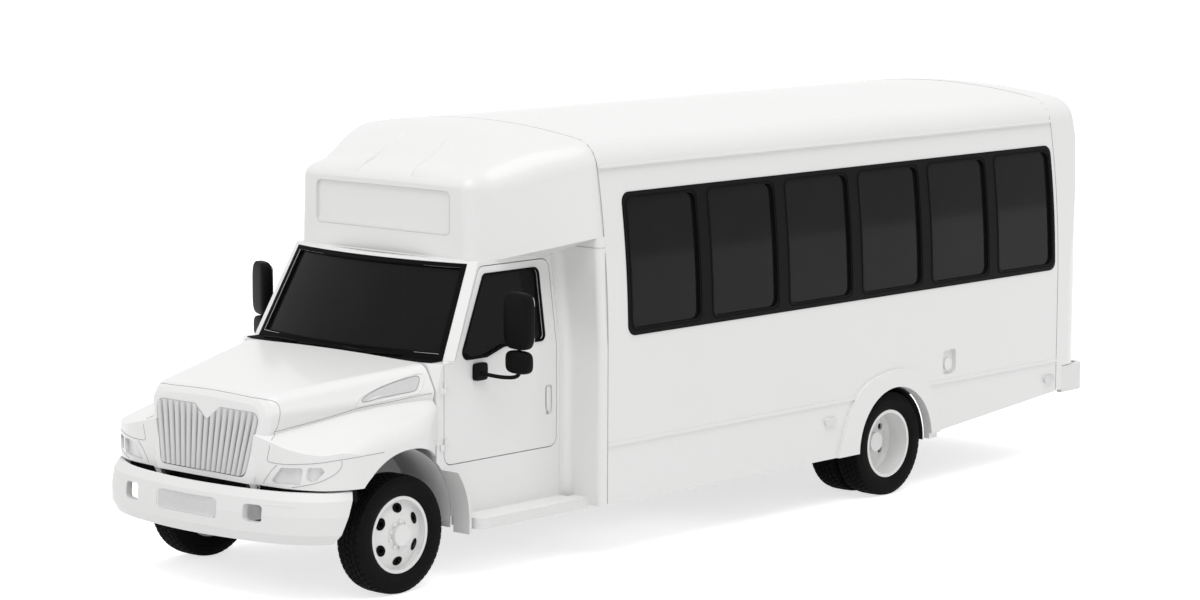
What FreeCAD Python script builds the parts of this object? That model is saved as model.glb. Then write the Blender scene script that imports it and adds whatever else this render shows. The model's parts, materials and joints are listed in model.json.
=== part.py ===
import FreeCAD, Part
import math
import os

from FreeCAD import Vector

# Minibus on a long-nosed truck chassis. Millimetres, +Z up, front towards -Y, driver's side on +X.
# The origin is on the ground, at the middle of the overall length and width.

# Overall places
overall_length = 8590.0
front_overhang = 985.0
wheelbase = 5010.0
front_axle_y = front_overhang - overall_length / 2
rear_axle_y = front_axle_y + wheelbase
rear_end_y = overall_length / 2

# Gaps and allowances
cut_overrun = 60.0
panel_gap = 6.0
seat_gap = 0.3
running_clearance = 0.05
join_tolerance = 0.01
pin_play = 1.0

# Strap hinges of the doors and leaves
hinge_radius = 8.0
hinge_pin_radius = 4.0
hinge_half_length = 38.0
hinge_arm = 42.0
hinge_out = 13.0
hinge_bite = 12.0

# Coach body
body_half_width = 1295.0
wall_thickness = 50.0
wall_turn_z = 1450.0
wall_curve_radius = 7640.0
gutter_z = 2712.0
gutter_out = 20.0
gutter_height = 18.0
roof_shoulder_z = 2876.0
roof_apex_z = 3076.0
roof_shoulder_radius = 208.0
roof_crown_radius = 5850.0
coach_front_back = 1735.0
rear_seam_back = 7160.0
skirt_z = 385.0
skirt_tail_start_back = 5560.0
skirt_tail_start_z = 428.0
skirt_tail_end_z = 562.0
belt_z = 808.0
belt_height = 22.0
belt_out = 10.0

# Windows
window_band_front_back = 1950.0
window_band_rear_back = 7110.0
window_low_z = 1549.0
window_high_z = 2529.0
window_count = 6
window_post = 60.0
window_corner = 75.0
frame_band_corner = 60.0
frame_proud = 7.0
frame_width = 30.0
frame_depth = 62.0
glass_inset = 14.0
glass_thickness = 6.0

# Rear wheel arch and its flare
rear_arch_radius = 452.0
rear_arch_z = 388.0
flare_out = 26.0
flare_backs = [4307.0, 4378.0, 4503.0, 4632.0, 4858.0, 5068.0, 5243.0, 5402.0, 5526.0, 5572.0]
flare_zs = [385.0, 574.0, 789.0, 891.0, 958.0, 974.0, 937.0, 837.0, 644.0, 428.0]

# Fuel filler in the left wall
filler_back = 5710.0
filler_z = 955.0
filler_width = 170.0
filler_height = 190.0
filler_depth = 30.0
filler_corner = 35.0
filler_cap_radius = 48.0
filler_cap_depth = 20.0
filler_cap_rise = -20.0

# Floor
floor_top_z = 920.0
floor_thickness = 50.0
floor_rear_back = 7455.0
sill_width = 60.0
sill_backs = [1790.0, 2900.0, 3600.0, 4250.0, 5900.0, 6600.0, 7200.0]
sill_half = 1180.0

# Entry doorway on the right side
entry_front_back = 1930.0
entry_rear_back = 2750.0
entry_low_z = 425.0
entry_high_z = 2360.0
entry_corner = 40.0
entry_hinge_zs = [620.0, 1300.0, 2120.0]
leaf_thickness = 30.0
leaf_meeting_gap = 28.0
leaf_frame = 55.0
leaf_pane_low_z = 640.0
leaf_pane_high_z = 2285.0
leaf_pane_corner = 40.0
stepwell_depth = 560.0
stepwell_sheet = 12.0
step_count = 3
step_rise = 160.0
step_run = 230.0

# Rear cap
rear_face_back = 7555.0
rear_cap_corner = 250.0
rear_cap_top_round = 260.0
rear_cap_low_z = 562.0
rear_cap_thickness = 50.0
rear_low_tuck = 95.0
rear_high_tuck = 90.0
rear_bulge_low_z = 1150.0
rear_bulge_high_z = 1750.0
rear_bulge_round = 900.0

# Rear door
rear_door_half = 430.0
rear_door_low_z = 960.0
rear_door_high_z = 2480.0
rear_door_corner = 70.0
rear_pane_half = 330.0
rear_pane_low_z = 1560.0
rear_pane_high_z = 2360.0
rear_pane_corner = 70.0
rear_latch_gap = 15.0
rear_hinge_zs = [1150.0, 1620.0, 2200.0]

# Front cap above the cab: stations from its face to the coach seam
cap_low_z = 2120.0
cap_face_back = 850.0
cap_back_shares = [0.0, 0.02, 0.07, 0.19, 0.34, 0.5, 0.65, 0.79, 0.9, 1.0]
cap_half_shares = [0.575, 0.618, 0.645, 0.670, 0.722, 0.788, 0.853, 0.915, 0.957, 0.977]
cap_lean_shares = [0.015, 0.015, 0.018, 0.023, 0.032, 0.045, 0.058, 0.070, 0.078, 0.0797]
cap_shoulder_shares = [0.635, 0.688, 0.734, 0.767, 0.813, 0.866, 0.913, 0.952, 0.981, 1.0]
cap_crown_shares = [0.5195, 0.5523, 0.598, 0.667, 0.7915, 0.9118, 1.0007, 1.0094, 0.999, 1.0]
cap_round_shares = [0.25, 0.3, 0.45, 0.7, 0.9, 1.0, 1.0, 1.0, 1.0, 1.0]
cap_reach_shares = [0.8, 0.8, 0.8, 0.8, 0.8, 0.8, 0.8, 0.81, 0.83, 0.854]
cap_thickness = 40.0
cap_ledge_half = 900.0
cap_ledge_rise = 130.0
cap_ledge_run = 365.0
sign_half = 640.0
sign_low_z = 2285.0
sign_high_z = 2575.0
sign_depth = 14.0
sign_corner = 40.0

# Corner panels between cab and coach body
corner_cove = 60.0
corner_round = 50.0
corner_set_back = 14.0

# Cab
cab_half_width = 970.0
cab_top_half = 880.0
cab_front_back = 385.0
cab_rear_back = 1660.0
cab_low_z = 440.0
cab_belt_z = 1483.0
cab_top_z = 2120.0
cab_thickness = 55.0
cab_floor_z = 790.0
cab_floor_thickness = 30.0
wheelhouse_half = 560.0
pillar_share = 0.5
shield_low_half = 900.0
shield_top_half = 820.0
shield_low_back = 520.0
shield_top_back = 850.0
shield_bow = 110.0
shield_border = 45.0
shield_glass = 8.0
shield_inset = 16.0

# Cab doors
door_front_back = 455.0
door_rear_back = 1572.0
door_low_z = 790.0
door_top_z = 2090.0
door_pillar_back = 880.0
door_pillar_foot_z = 1490.0
door_pillar_drop = 25.0
door_pillar_foot_back = 562.0
door_corner = 70.0
door_window_low_z = 1541.0
door_window_step_z = 1490.0
door_window_top_z = 2030.0
door_window_front_back = 618.0
door_window_step_back = 870.0
door_window_rise_back = 1045.0
door_window_rear_back = 1455.0
door_window_pillar_back = 918.0
door_window_corner = 45.0
door_glass_inset = 18.0
door_handle_back = 1455.0
door_handle_z = 1120.0
door_handle_width = 70.0
door_handle_height = 210.0
door_handle_depth = 14.0
cab_hinge_zs = [900.0, 1280.0]

# Running boards and splash guards
board_thickness = 75.0
board_out = 1175.0
board_in = 900.0
board_front_back = 600.0
board_corner = 60.0
front_arch_radius = 545.0
front_arch_z = 440.0
guard_thickness = 22.0
guard_out = 1120.0
guard_low_z = 335.0
guard_top_share = 0.58

# Hood and fenders
hood_front_back = -830.0
hood_top_lean = 70.0
hood_rear_back = 375.0
hood_low_z = 780.0
hood_shell = 28.0
hood_crown = 28.0
hood_crown_share = 0.8
hood_pivot_back = -780.0
hood_pivot_z = 754.0
hood_lug_half = 436.0
hood_lug_length = 50.0
hood_lug_radius = 20.0
hood_pin_radius = 8.0
hood_ear = 35.0
hood_gap = 12.0
hood_side_round = 60.0
hood_deck_round = 105.0
nose_round = 100.0
nose_draw = 60.0
nose_back_shares = [0.0, 0.15, 0.45, 1.0]
nose_draw_shares = [1.0, 0.5, 0.13, 0.0]
nose_low_half = 500.0
nose_side_half = 578.0
nose_side_z = 1240.0
nose_deck_half = 525.0
hood_nose_top_z = 1345.0
cowl_low_half = 800.0
cowl_bevel_in = 90.0
cowl_bevel_back = 58.0
cowl_bevel_drop = 183.0
cowl_side_half = 965.0
cowl_side_z = 1300.0
cowl_deck_half = 872.0
hood_cowl_z = 1478.0
fender_half = 1120.0
fender_backs = [-860.0, -640.0, -480.0, -300.0, -100.0, 100.0, 250.0, 375.0]
fender_halves = [1120.0, 1120.0, 1120.0, 1120.0, 1120.0, 1116.0, 1070.0, 992.0]
fender_seam_halves = [500.0, 581.0, 638.0, 703.0, 774.0, 846.0, 900.0, 944.0]
fender_seam_zs = [1085.0, 1131.0, 1158.0, 1195.0, 1235.0, 1260.0, 1276.0, 1289.0]
fender_shoulder_zs = [915.0, 985.0, 1040.0, 1085.0, 1115.0, 1130.0, 1150.0, 1190.0]
fender_rounds = [60.0, 90.0, 130.0, 160.0, 180.0, 170.0, 110.0, 50.0]
fender_tuck = 40.0
fender_nose_halves = [480.0, 800.0, 1010.0, 1100.0, 1130.0]
fender_nose_backs = [-806.0, -775.0, -670.0, -500.0, -300.0]
fender_nose_rounds = [0.0, 650.0, 280.0, 450.0, 500.0]
tail_low_z = 955.0

# Grille
grille_top_half = 508.0
grille_low_half = 410.0
grille_top_z = 1245.0
grille_low_z = 815.0
grille_corner = 60.0
grille_notch_half = 120.0
grille_notch_depth = 95.0
grille_bar_count = 17
grille_bar_radius = 20.0
grille_depth = 70.0
grille_back_plate = 12.0

# Headlamps: two lenses a side, corners as seen from the front
lamp_inner_halves = [606.0, 849.0, 870.0, 706.0]
lamp_inner_zs = [800.0, 811.0, 926.0, 914.0]
lamp_outer_halves = [882.0, 952.0, 993.0, 981.0, 896.0]
lamp_outer_zs = [829.0, 848.0, 903.0, 932.0, 929.0]
lamp_corner = 18.0
lamp_lens_inset = 22.0
lamp_lens_thickness = 12.0

# Front bumper
bumper_top_z = 765.0
bumper_low_z = 430.0
bumper_halves = [0.0, 430.0, 700.0, 880.0, 1000.0, 1080.0, 1115.0]
bumper_backs = [-985.0, -955.0, -903.0, -832.0, -745.0, -635.0, -500.0]
bumper_z_shares = [0.0, 0.2, 0.55, 0.85, 1.0]
bumper_draws = [28.0, 0.0, 0.0, 12.0, 36.0]
bumper_end_slant = 140.0
bumper_wall = 45.0
fog_half_gap = 510.0
fog_width = 150.0
fog_height = 115.0
fog_z = 620.0
fog_corner = 28.0
plate_width = 590.0
plate_height = 130.0
plate_depth = 22.0
plate_corner = 25.0
plate_hole_half = 89.0
plate_hole_radius = 3.5

# Rear bumper
rear_bumper_low_z = 535.0
rear_bumper_top_z = 750.0
rear_bumper_front_back = 7250.0
rear_bumper_half = 1290.0
rear_bumper_wall = 45.0
rear_bumper_corner = 120.0
rear_bumper_arm = 90.0

# Wheels
tyre_radius = 399.0
tyre_width = 226.0
tyre_shoulder = 28.0
tyre_bulge = 14.0
rim_seat_radius = 244.0
rim_flange_radius = 257.0
rim_width = 190.0
rim_sheet = 9.0
front_track_half = 915.0
rear_outer_half = 1148.0
rear_inner_half = 888.0
hand_hole_count = 6
hand_hole_radius = 27.0
hand_hole_circle = 178.0
hub_radius = 112.0
hub_cap_radius = 72.0
hub_bore_radius = 34.0
hub_length = 120.0
nut_count = 10
nut_circle = 92.0
nut_radius = 13.0
nut_length = 16.0
front_disc_bulge = 88.0
rear_disc_inset = 30.0
rear_hub_out = 95.0

# Steering and axles
kingpin_half = 735.0
kingpin_radius = 20.0
knuckle_lug_height = 34.0
beam_boss_height = 92.0
beam_boss_radius = 48.0
beam_height = 95.0
beam_width = 70.0
beam_drop = 60.0
spindle_radius = hub_bore_radius - running_clearance
knuckle_plate = 36.0
knuckle_plate_radius = 105.0
axle_tube_radius = 62.0
diff_radius = 190.0
diff_half = 230.0
diff_slope = 110.0
diff_round = 60.0
rear_drum_width = 120.0

# Frame
rail_outer_half = 430.0
rail_height = 230.0
rail_flange = 75.0
rail_sheet = 9.0
rail_top_z = 760.0
rail_front_back = -690.0
rail_rear_back = 7300.0
crossmember_backs = [-640.0, 1500.0, 2300.0, 3500.0, 4500.0, 5650.0, 7180.0]
crossmember_width = 90.0
crossmember_height = 100.0
spring_half = 430.0
spring_width = 76.0
spring_sheet = 36.0
spring_length = 1250.0
spring_sag = 110.0
spring_eye_radius = 28.0
hanger_length = 90.0
hanger_top_z = 690.0

# Engine, gearbox and shaft in one plain heavy piece
engine_half = 330.0
engine_front_back = -420.0
engine_rear_back = 370.0
engine_low_z = 560.0
engine_high_z = 1180.0
gearbox_half = 200.0
gearbox_rear_back = 1350.0
gearbox_low_z = 500.0
gearbox_high_z = 725.0
engine_foot_reach = 70.0
engine_foot_length = 90.0
engine_foot_height = 40.0
engine_foot_backs = [-300.0, 150.0]
shaft_radius = 50.0

# Fuel tank
tank_front_back = 2050.0
tank_rear_back = 3300.0
tank_in = 430.0
tank_out = 1080.0
tank_low_z = 430.0
tank_high_z = 750.0
tank_round = 90.0

# Mirrors
mirror_out = 1250.0
mirror_back = 890.0
mirror_half_width = 125.0
mirror_depth = 95.0
mirror_low_z = 1560.0
mirror_high_z = 1945.0
spot_low_z = 1455.0
spot_high_z = 1545.0
mirror_round = 38.0
mirror_arm_radius = 14.0
mirror_arm_z = 1395.0
mirror_arm_share = 0.06
mirror_base_back = 790.0
mirror_base_half_height = 60.0
mirror_base_half_length = 62.0
mirror_base_depth = 32.0

# Seats
seat_width = 820.0
seat_cushion_depth = 430.0
seat_cushion_thickness = 110.0
seat_height = 450.0
seat_back_height = 640.0
seat_back_thickness = 95.0
seat_round = 40.0
seat_pitch = 790.0
left_seat_rows = 7
right_seat_rows = 6
left_seat_start_back = 2330.0
right_seat_start_back = 3200.0
seat_wall_gap = 25.0
seat_leg_width = 300.0
driver_seat_centre = 480.0
driver_seat_width = 500.0
driver_seat_back = 1290.0
driver_seat_height = 410.0

# Dash and steering wheel
dash_rear_back = 800.0
dash_low_z = 1150.0
dash_round = 60.0
wheel_ring_radius = 225.0
wheel_ring_tube = 16.0
wheel_centre_back = 930.0
wheel_centre_z = 1500.0
wheel_lean = 35.0
wheel_hub_radius = 60.0
wheel_hub_length = 45.0
column_radius = 26.0

# Wipers
wiper_length = 560.0
wiper_blade = 14.0
wiper_gap = 4.0
wiper_starts = [45.0, -648.0]

# Lamps on the coach body
marker_length = 130.0
marker_height = 62.0
marker_out = 22.0
marker_z = 672.0
marker_backs = [4215.0, 7045.0]
tail_lamp_half = 1010.0
tail_lamp_radius = 62.0
tail_lamp_out = 16.0
tail_lamp_zs = [1000.0, 1180.0]


def at(back):
    """Y of a place given by its distance behind the front axle."""
    return front_axle_y + back


def box(x0, x1, y0, y1, z0, z1):
    corner = Vector(min(x0, x1), min(y0, y1), min(z0, z1))
    return Part.makeBox(abs(x1 - x0), abs(y1 - y0), abs(z1 - z0), corner)


def cylinder(start, direction, radius, length):
    return Part.makeCylinder(radius, length, start, direction)


def fused(shapes):
    whole = shapes[0].multiFuse(shapes[1:]) if len(shapes) > 1 else shapes[0]
    return whole.removeSplitter()


def lofted(wires, straight):
    """A solid through closed wires, with its faces turned outwards."""
    body = Part.makeLoft(wires, True, straight)
    if body.Volume < 0:
        body.reverse()
    return body


def both_sides(shape):
    """A shape on the left side together with its mirror image on the right."""
    return Part.makeCompound([shape, mirrored(shape)])


def mirrored(shape):
    return shape.mirror(Vector(0, 0, 0), Vector(1, 0, 0))


def rounded_wire(points, radii):
    """A closed outline through corner points, each corner rounded by its own radius."""
    count = len(points)
    starts = []
    ends = []
    middles = []
    for i in range(count):
        corner = points[i]
        to_last = (points[i - 1] - corner).normalize()
        to_next = (points[(i + 1) % count] - corner).normalize()
        radius = radii[i] if isinstance(radii, (list, tuple)) else radii
        half_angle = to_last.getAngle(to_next) / 2
        if radius == 0:
            starts.append(corner)
            ends.append(corner)
            middles.append(None)
            continue
        reach = radius / math.tan(half_angle)
        starts.append(corner + to_last * reach)
        ends.append(corner + to_next * reach)
        toward = (to_last + to_next).normalize()
        middles.append(corner + toward * (radius / math.sin(half_angle) - radius))
    edges = []
    for i in range(count):
        if middles[i] is not None:
            edges.append(Part.Arc(starts[i], middles[i], ends[i]).toShape())
        after = starts[(i + 1) % count]
        if ends[i].distanceToPoint(after) > running_clearance:
            edges.append(Part.LineSegment(ends[i], after).toShape())
    return Part.Wire(edges)


def prism(points, radii, travel):
    return Part.Face(rounded_wire(points, radii)).extrude(travel)


def prism_x(outline, radii, x0, x1):
    """A solid from x0 to x1 with an outline of (y, z) corners."""
    return prism([Vector(x0, y, z) for y, z in outline], radii, Vector(x1 - x0, 0, 0))


def prism_y(outline, radii, y0, y1):
    """A solid from y0 to y1 with an outline of (x, z) corners."""
    return prism([Vector(x, y0, z) for x, z in outline], radii, Vector(0, y1 - y0, 0))


def prism_z(outline, radii, z0, z1):
    """A solid from z0 to z1 with an outline of (x, y) corners."""
    return prism([Vector(x, y, z0) for x, y in outline], radii, Vector(0, 0, z1 - z0))


def rectangle(u0, u1, v0, v1):
    return [(u0, v0), (u1, v0), (u1, v1), (u0, v1)]


def hinge_half(axis, z, panel_way, moving):
    """Half of a strap hinge: a barrel on the axis with an arm along the panel and into it.

    panel_way runs from the axis to the arm's far corner. The fixed half carries the pin.
    """
    up = Vector(0, 0, 1)
    low = z + hinge_half_length + pin_play if moving else z
    foot = Vector(axis.x, axis.y, low)
    barrel = cylinder(foot, up, hinge_radius, hinge_half_length)
    arm = box(axis.x, axis.x + panel_way.x, axis.y, axis.y + panel_way.y, low, low + hinge_half_length)
    half = barrel.fuse(arm)
    if moving:
        return half.cut(cylinder(foot, up, hinge_pin_radius + running_clearance, hinge_half_length))
    pin = cylinder(foot, up, hinge_pin_radius, hinge_half_length * 2 + pin_play)
    return half.fuse(pin)


def with_hinges(panel, hinges, moving):
    """A panel with its halves of some hinges; each hinge lists its axis, height and fixed side's way."""
    halves = []
    for axis, z, way in hinges:
        side = Vector(-way.x, way.y, 0) if abs(way.x) == hinge_arm else Vector(way.x, -way.y, 0)
        halves.append(hinge_half(axis, z, side if moving else way, moving))
    return fused([panel] + halves)


def wall_x(z, offset):
    """Outer face of the coach wall at a height: upright below, then a long inward curve."""
    if z <= wall_turn_z:
        return body_half_width + offset
    rise = z - wall_turn_z
    radius = wall_curve_radius + offset
    return body_half_width - wall_curve_radius + math.sqrt(radius ** 2 - rise ** 2)


def wall_edge(z0, z1, offset):
    """The edges of the wall's section from z0 up to z1, at an offset from its outer face."""
    edges = []
    start = z0
    if z0 < wall_turn_z:
        start = min(z1, wall_turn_z)
        low = Vector(wall_x(z0, offset), 0, z0)
        edges.append(Part.LineSegment(low, Vector(wall_x(start, offset), 0, start)).toShape())
    if z1 > wall_turn_z:
        places = [start, (start + z1) / 2, z1]
        ends = [Vector(wall_x(z, offset), 0, z) for z in places]
        edges.append(Part.Arc(*ends).toShape())
    return edges


def wall_slab(outer, inner, z0, z1, y0, y1):
    """A curved slab of the left wall between two offsets from the wall's outer face."""
    edges = wall_edge(z0, z1, outer) + wall_edge(z0, z1, inner)
    for z in (z0, z1):
        edges.append(Part.LineSegment(Vector(wall_x(z, outer), 0, z), Vector(wall_x(z, inner), 0, z)).toShape())
    face = Part.Face(Part.Wire(Part.__sortEdges__(edges)))
    slab = face.extrude(Vector(0, y1 - y0, 0))
    slab.translate(Vector(0, y0, 0))
    return slab


def roof_corners(inset):
    """Half of the roof's section, from the gutter to the apex, moved in by an inset."""
    gutter = (wall_x(gutter_z, -inset), gutter_z)
    slope = math.atan2(roof_apex_z - roof_shoulder_z, wall_x(roof_shoulder_z, 0))
    apex = (0.0, roof_apex_z - inset / math.cos(slope))
    shoulder_x = wall_x(roof_shoulder_z, -inset)
    shoulder = (shoulder_x, apex[1] - shoulder_x * math.tan(slope))
    return gutter, shoulder, apex


def body_section(inset, low_z):
    """The coach body's full section as a solid block, from low_z to the roof."""
    gutter, shoulder, apex = roof_corners(inset)
    side = wall_edge(low_z, gutter_z, -inset)
    corners = [Vector(gutter[0], 0, gutter[1]), Vector(shoulder[0], 0, shoulder[1]), Vector(0, 0, apex[1])]
    corners += [Vector(-shoulder[0], 0, shoulder[1]), Vector(-gutter[0], 0, gutter[1])]
    shoulder_round = roof_shoulder_radius - inset
    top = rounded_wire(corners, [0, shoulder_round, roof_crown_radius - inset, shoulder_round, 0])
    lid = [edge for edge in top.Edges if edge.BoundBox.ZLength > running_clearance]
    other = [edge.mirror(Vector(0, 0, 0), Vector(1, 0, 0)) for edge in side]
    low = Part.LineSegment(Vector(-wall_x(low_z, -inset), 0, low_z), Vector(wall_x(low_z, -inset), 0, low_z))
    return Part.Face(Part.Wire(Part.__sortEdges__(side + lid + other + [low.toShape()])))


def body_block(inset, low_z, y0, y1):
    block = body_section(inset, low_z).extrude(Vector(0, y1 - y0, 0))
    block.translate(Vector(0, y0, 0))
    return block


def window_span(index):
    """Front and rear Y of one side window's opening."""
    pitch = (window_band_rear_back - window_band_front_back + window_post) / window_count
    front = at(window_band_front_back) + pitch * index
    return front, front + pitch - window_post


def window_outline(index, border):
    y0, y1 = window_span(index)
    return rectangle(y0 + border, y1 - border, window_low_z + border, window_high_z - border)


def coach_wall(windows):
    """The left wall with its window openings, belt rail, wheel arch and rising tail."""
    y0 = at(coach_front_back)
    y1 = at(rear_seam_back)
    wall = wall_slab(0, -wall_thickness, skirt_z, gutter_z, y0, y1)
    rail = wall_slab(belt_out, 0, belt_z - belt_height / 2, belt_z + belt_height / 2, y0, y1)
    wall = wall.fuse(rail).removeSplitter()
    reach = body_half_width + cut_overrun
    inside = wall_x(gutter_z, -wall_thickness) - cut_overrun
    for index in windows:
        wall = wall.cut(prism_x(window_outline(index, window_border()), window_corner, inside, reach))
    tail = [(at(skirt_tail_start_back), skirt_z - cut_overrun), (y1 + cut_overrun, skirt_z - cut_overrun)]
    tail += [(y1 + cut_overrun, skirt_tail_end_z), (at(skirt_tail_start_back), skirt_tail_start_z)]
    wall = wall.cut(prism_x(tail, 0, inside, reach))
    wall = wall.fuse(arch_flare())
    arch = cylinder(Vector(inside, rear_axle_y, rear_arch_z), Vector(1, 0, 0), rear_arch_radius, reach - inside)
    return wall.cut(arch).removeSplitter()


def window_border():
    """The outermost windows start a frame's width inside the band."""
    return frame_width / 2


def arch_flare():
    """The raised fender round the rear wheel, wider ahead of the wheel than behind it."""
    x0 = body_half_width
    points = [Vector(x0, at(back), z) for back, z in zip(flare_backs, flare_zs)]
    curve = Part.BSplineCurve()
    curve.interpolate(points)
    corners = [points[-1], Vector(x0, rear_axle_y, points[-1].z), Vector(x0, rear_axle_y, points[0].z), points[0]]
    edges = [curve.toShape()]
    for i in range(3):
        edges.append(Part.LineSegment(corners[i], corners[i + 1]).toShape())
    return Part.Face(Part.Wire(edges)).extrude(Vector(flare_out, 0, 0))


def fuel_filler(wall):
    """The recessed filler box with its round cap."""
    y0 = at(filler_back) - filler_width / 2
    z0 = filler_z - filler_height / 2
    outline = rectangle(y0, y0 + filler_width, z0, z0 + filler_height)
    floor_x = body_half_width - filler_depth
    recess = prism_x(outline, filler_corner, floor_x, body_half_width + cut_overrun)
    cap_centre = Vector(floor_x, at(filler_back), filler_z + filler_cap_rise)
    cap = cylinder(cap_centre, Vector(1, 0, 0), filler_cap_radius, filler_cap_depth)
    return wall.cut(recess).fuse(cap).removeSplitter()


def left_wall():
    return fuel_filler(coach_wall(range(window_count)))


def right_wall():
    """The door-side wall: no first window, and an opening for the entry leaves."""
    wall = mirrored(coach_wall(range(1, window_count)))
    y0 = at(entry_front_back)
    y1 = at(entry_rear_back)
    outline = rectangle(y0, y1, entry_low_z, entry_high_z)
    opening = prism_x(outline, entry_corner, -body_half_width - cut_overrun, -body_half_width / 2)
    return with_hinges(wall.cut(opening), entry_hinges(True) + entry_hinges(False), False)


def window_frames(windows):
    """Black frames on the left side: an outer band over the posts and a sleeve in each opening."""
    first = windows[0]
    last = windows[-1]
    y0 = window_span(first)[0]
    y1 = window_span(last)[1]
    band = rectangle(y0, y1, window_low_z, window_high_z)
    reach = body_half_width + cut_overrun
    inside = wall_x(gutter_z, -wall_thickness) - cut_overrun
    plate = wall_slab(frame_proud, 0, window_low_z - cut_overrun, window_high_z + cut_overrun, y0, y1)
    frames = [plate.common(prism_x(band, frame_band_corner, inside, reach))]
    sleeve = wall_slab(0, -frame_depth, window_low_z - cut_overrun, window_high_z + cut_overrun, y0, y1)
    for index in windows:
        frames.append(sleeve.common(prism_x(window_outline(index, window_border()), window_corner, inside, reach)))
    frames = fused(frames)
    for index in windows:
        hole = prism_x(window_outline(index, pane_border()), window_corner - frame_width / 2, inside, reach)
        frames = frames.cut(hole)
    return frames


def pane_border():
    return window_border() + frame_width


def window_panes(windows):
    panes = []
    reach = body_half_width + cut_overrun
    inside = wall_x(gutter_z, -wall_thickness) - cut_overrun
    for index in windows:
        y0, y1 = window_span(index)
        slab = wall_slab(-glass_inset, -glass_inset - glass_thickness, window_low_z, window_high_z, y0, y1)
        outline = window_outline(index, pane_border())
        panes.append(slab.common(prism_x(outline, window_corner - frame_width / 2, inside, reach)))
    return Part.makeCompound(panes)


def roof():
    """A hollow roof skin between the two seams, with a drip rail along each edge."""
    y0 = at(coach_front_back)
    y1 = at(rear_seam_back)
    outer = body_block(0, gutter_z - cut_overrun, y0, y1)
    inner = body_block(wall_thickness, gutter_z - cut_overrun, y0 - cut_overrun, y1 + cut_overrun)
    skin = outer.cut(inner)
    skin = skin.cut(box(-body_half_width, body_half_width, y0 - cut_overrun, y1 + cut_overrun, skirt_z, gutter_z))
    drip = wall_slab(gutter_out, -wall_thickness / 2, gutter_z, gutter_z + gutter_height, y0, y1)
    return fused([skin, drip, mirrored(drip)])


def cap_section(index, inset):
    """One cross-section of the front cap, from a low face to the coach body's own section."""
    depth = coach_front_back - cap_face_back
    share = cap_back_shares[index]
    y = at(cap_face_back + depth * share + inset * (1 - share))
    if inset and share == 1:
        y += cut_overrun
    shoulder, apex = roof_corners(0)[1:]
    half = body_half_width * cap_half_shares[index] - inset
    top_half = half - body_half_width * cap_lean_shares[index]
    shoulder_z = cap_low_z + (shoulder[1] - cap_low_z) * cap_shoulder_shares[index] - inset
    top_z = cap_low_z + (apex[1] - cap_low_z) * cap_crown_shares[index] - inset
    low = cap_low_z - (cut_overrun if inset else 0)
    crown = crown_radius(top_half, top_z - shoulder_z, cap_reach_shares[index])
    radius = (roof_shoulder_radius - inset) * cap_round_shares[index]
    corners = [Vector(half, y, low), Vector(top_half, y, shoulder_z), Vector(0, y, top_z)]
    corners += [Vector(-top_half, y, shoulder_z), Vector(-half, y, low)]
    return rounded_wire(corners, [0, radius, crown, radius, 0])


def crown_radius(half, rise, reach_share):
    """The radius that rounds a ridge over a share of its slopes."""
    return math.hypot(half, rise) * reach_share * half / rise


def cap_ledge(lift):
    """The rising underside of the cap's overhang, as the room below it on both sides."""
    low = cap_low_z - cut_overrun
    reach = body_half_width + cut_overrun
    rise = (reach - cap_ledge_half) * cap_ledge_rise / cap_ledge_run
    outline = [(cap_ledge_half, low), (reach, low), (reach, cap_low_z + rise + lift), (cap_ledge_half, cap_low_z + lift)]
    travel = Vector(0, coach_front_back - cap_face_back + cut_overrun * 2, 0)
    y = at(cap_face_back) - cut_overrun
    return both_sides(prism([Vector(x, y, z) for x, z in outline], 0, travel))


def cap_form(inset):
    """The front cap as a solid through its stations."""
    return lofted([cap_section(index, inset) for index in range(len(cap_back_shares))], False)


def front_cap():
    """Hollow cap over the cab, with a shallow blank sign recess, open to the cab and the saloon."""
    cap = cap_form(0).cut(cap_ledge(0))
    inner = cap_form(cap_thickness).cut(cap_ledge(cap_thickness))
    floor_plate = box(-body_half_width, body_half_width, at(cap_face_back) - cut_overrun,
                      at(coach_front_back) + cut_overrun, cap_low_z - cut_overrun, cap_low_z + cap_thickness)
    cap = cap.cut(inner.cut(floor_plate))
    hatch = prism_z(cab_plan(cab_top_z, cab_thickness), 0, cap_low_z - cut_overrun, cap_low_z + cut_overrun)
    cap = cap.cut(hatch)
    sign = rectangle(-sign_half, sign_half, sign_low_z, sign_high_z)
    front = at(cap_face_back)
    cap = cap.cut(prism_y(sign, sign_corner, front - cut_overrun, front + sign_depth))
    return cap


def corner_outline(half, outer):
    """Plan corners of a corner panel, with a cove at the cab's side and a round outer edge."""
    y0 = at(cab_rear_back)
    face = y0 + corner_set_back
    inner_x = cab_top_half - cab_thickness
    lip = y0 - corner_cove
    outline = [(inner_x, y0), (half, y0), (half, lip), (half + panel_gap, lip), (half + panel_gap, face)]
    outline += [(outer, face), (outer, at(coach_front_back)), (inner_x, at(coach_front_back))]
    return outline


def corner_panels():
    """The coved panels that widen from the cab to the coach body, one each side."""
    radii = [0, 0, 0, 0, corner_cove, corner_round, 0, 0]
    low = prism_z(corner_outline(cab_half_width, body_half_width), radii, skirt_z, cab_belt_z)
    wires = []
    for z, half in ((cab_belt_z, cab_half_width), (cab_top_z, cab_top_half)):
        points = [Vector(x, y, z) for x, y in corner_outline(half, wall_x(z, 0))]
        wires.append(rounded_wire(points, radii))
    high = lofted(wires, True)
    top = prism_z(corner_outline(cab_top_half, wall_x(cab_top_z, 0)), radii, cab_top_z, gutter_z)
    top = top.common(cap_ledge(-seat_gap).Solids[0])
    return both_sides(fused([low, high, top]))


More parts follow.
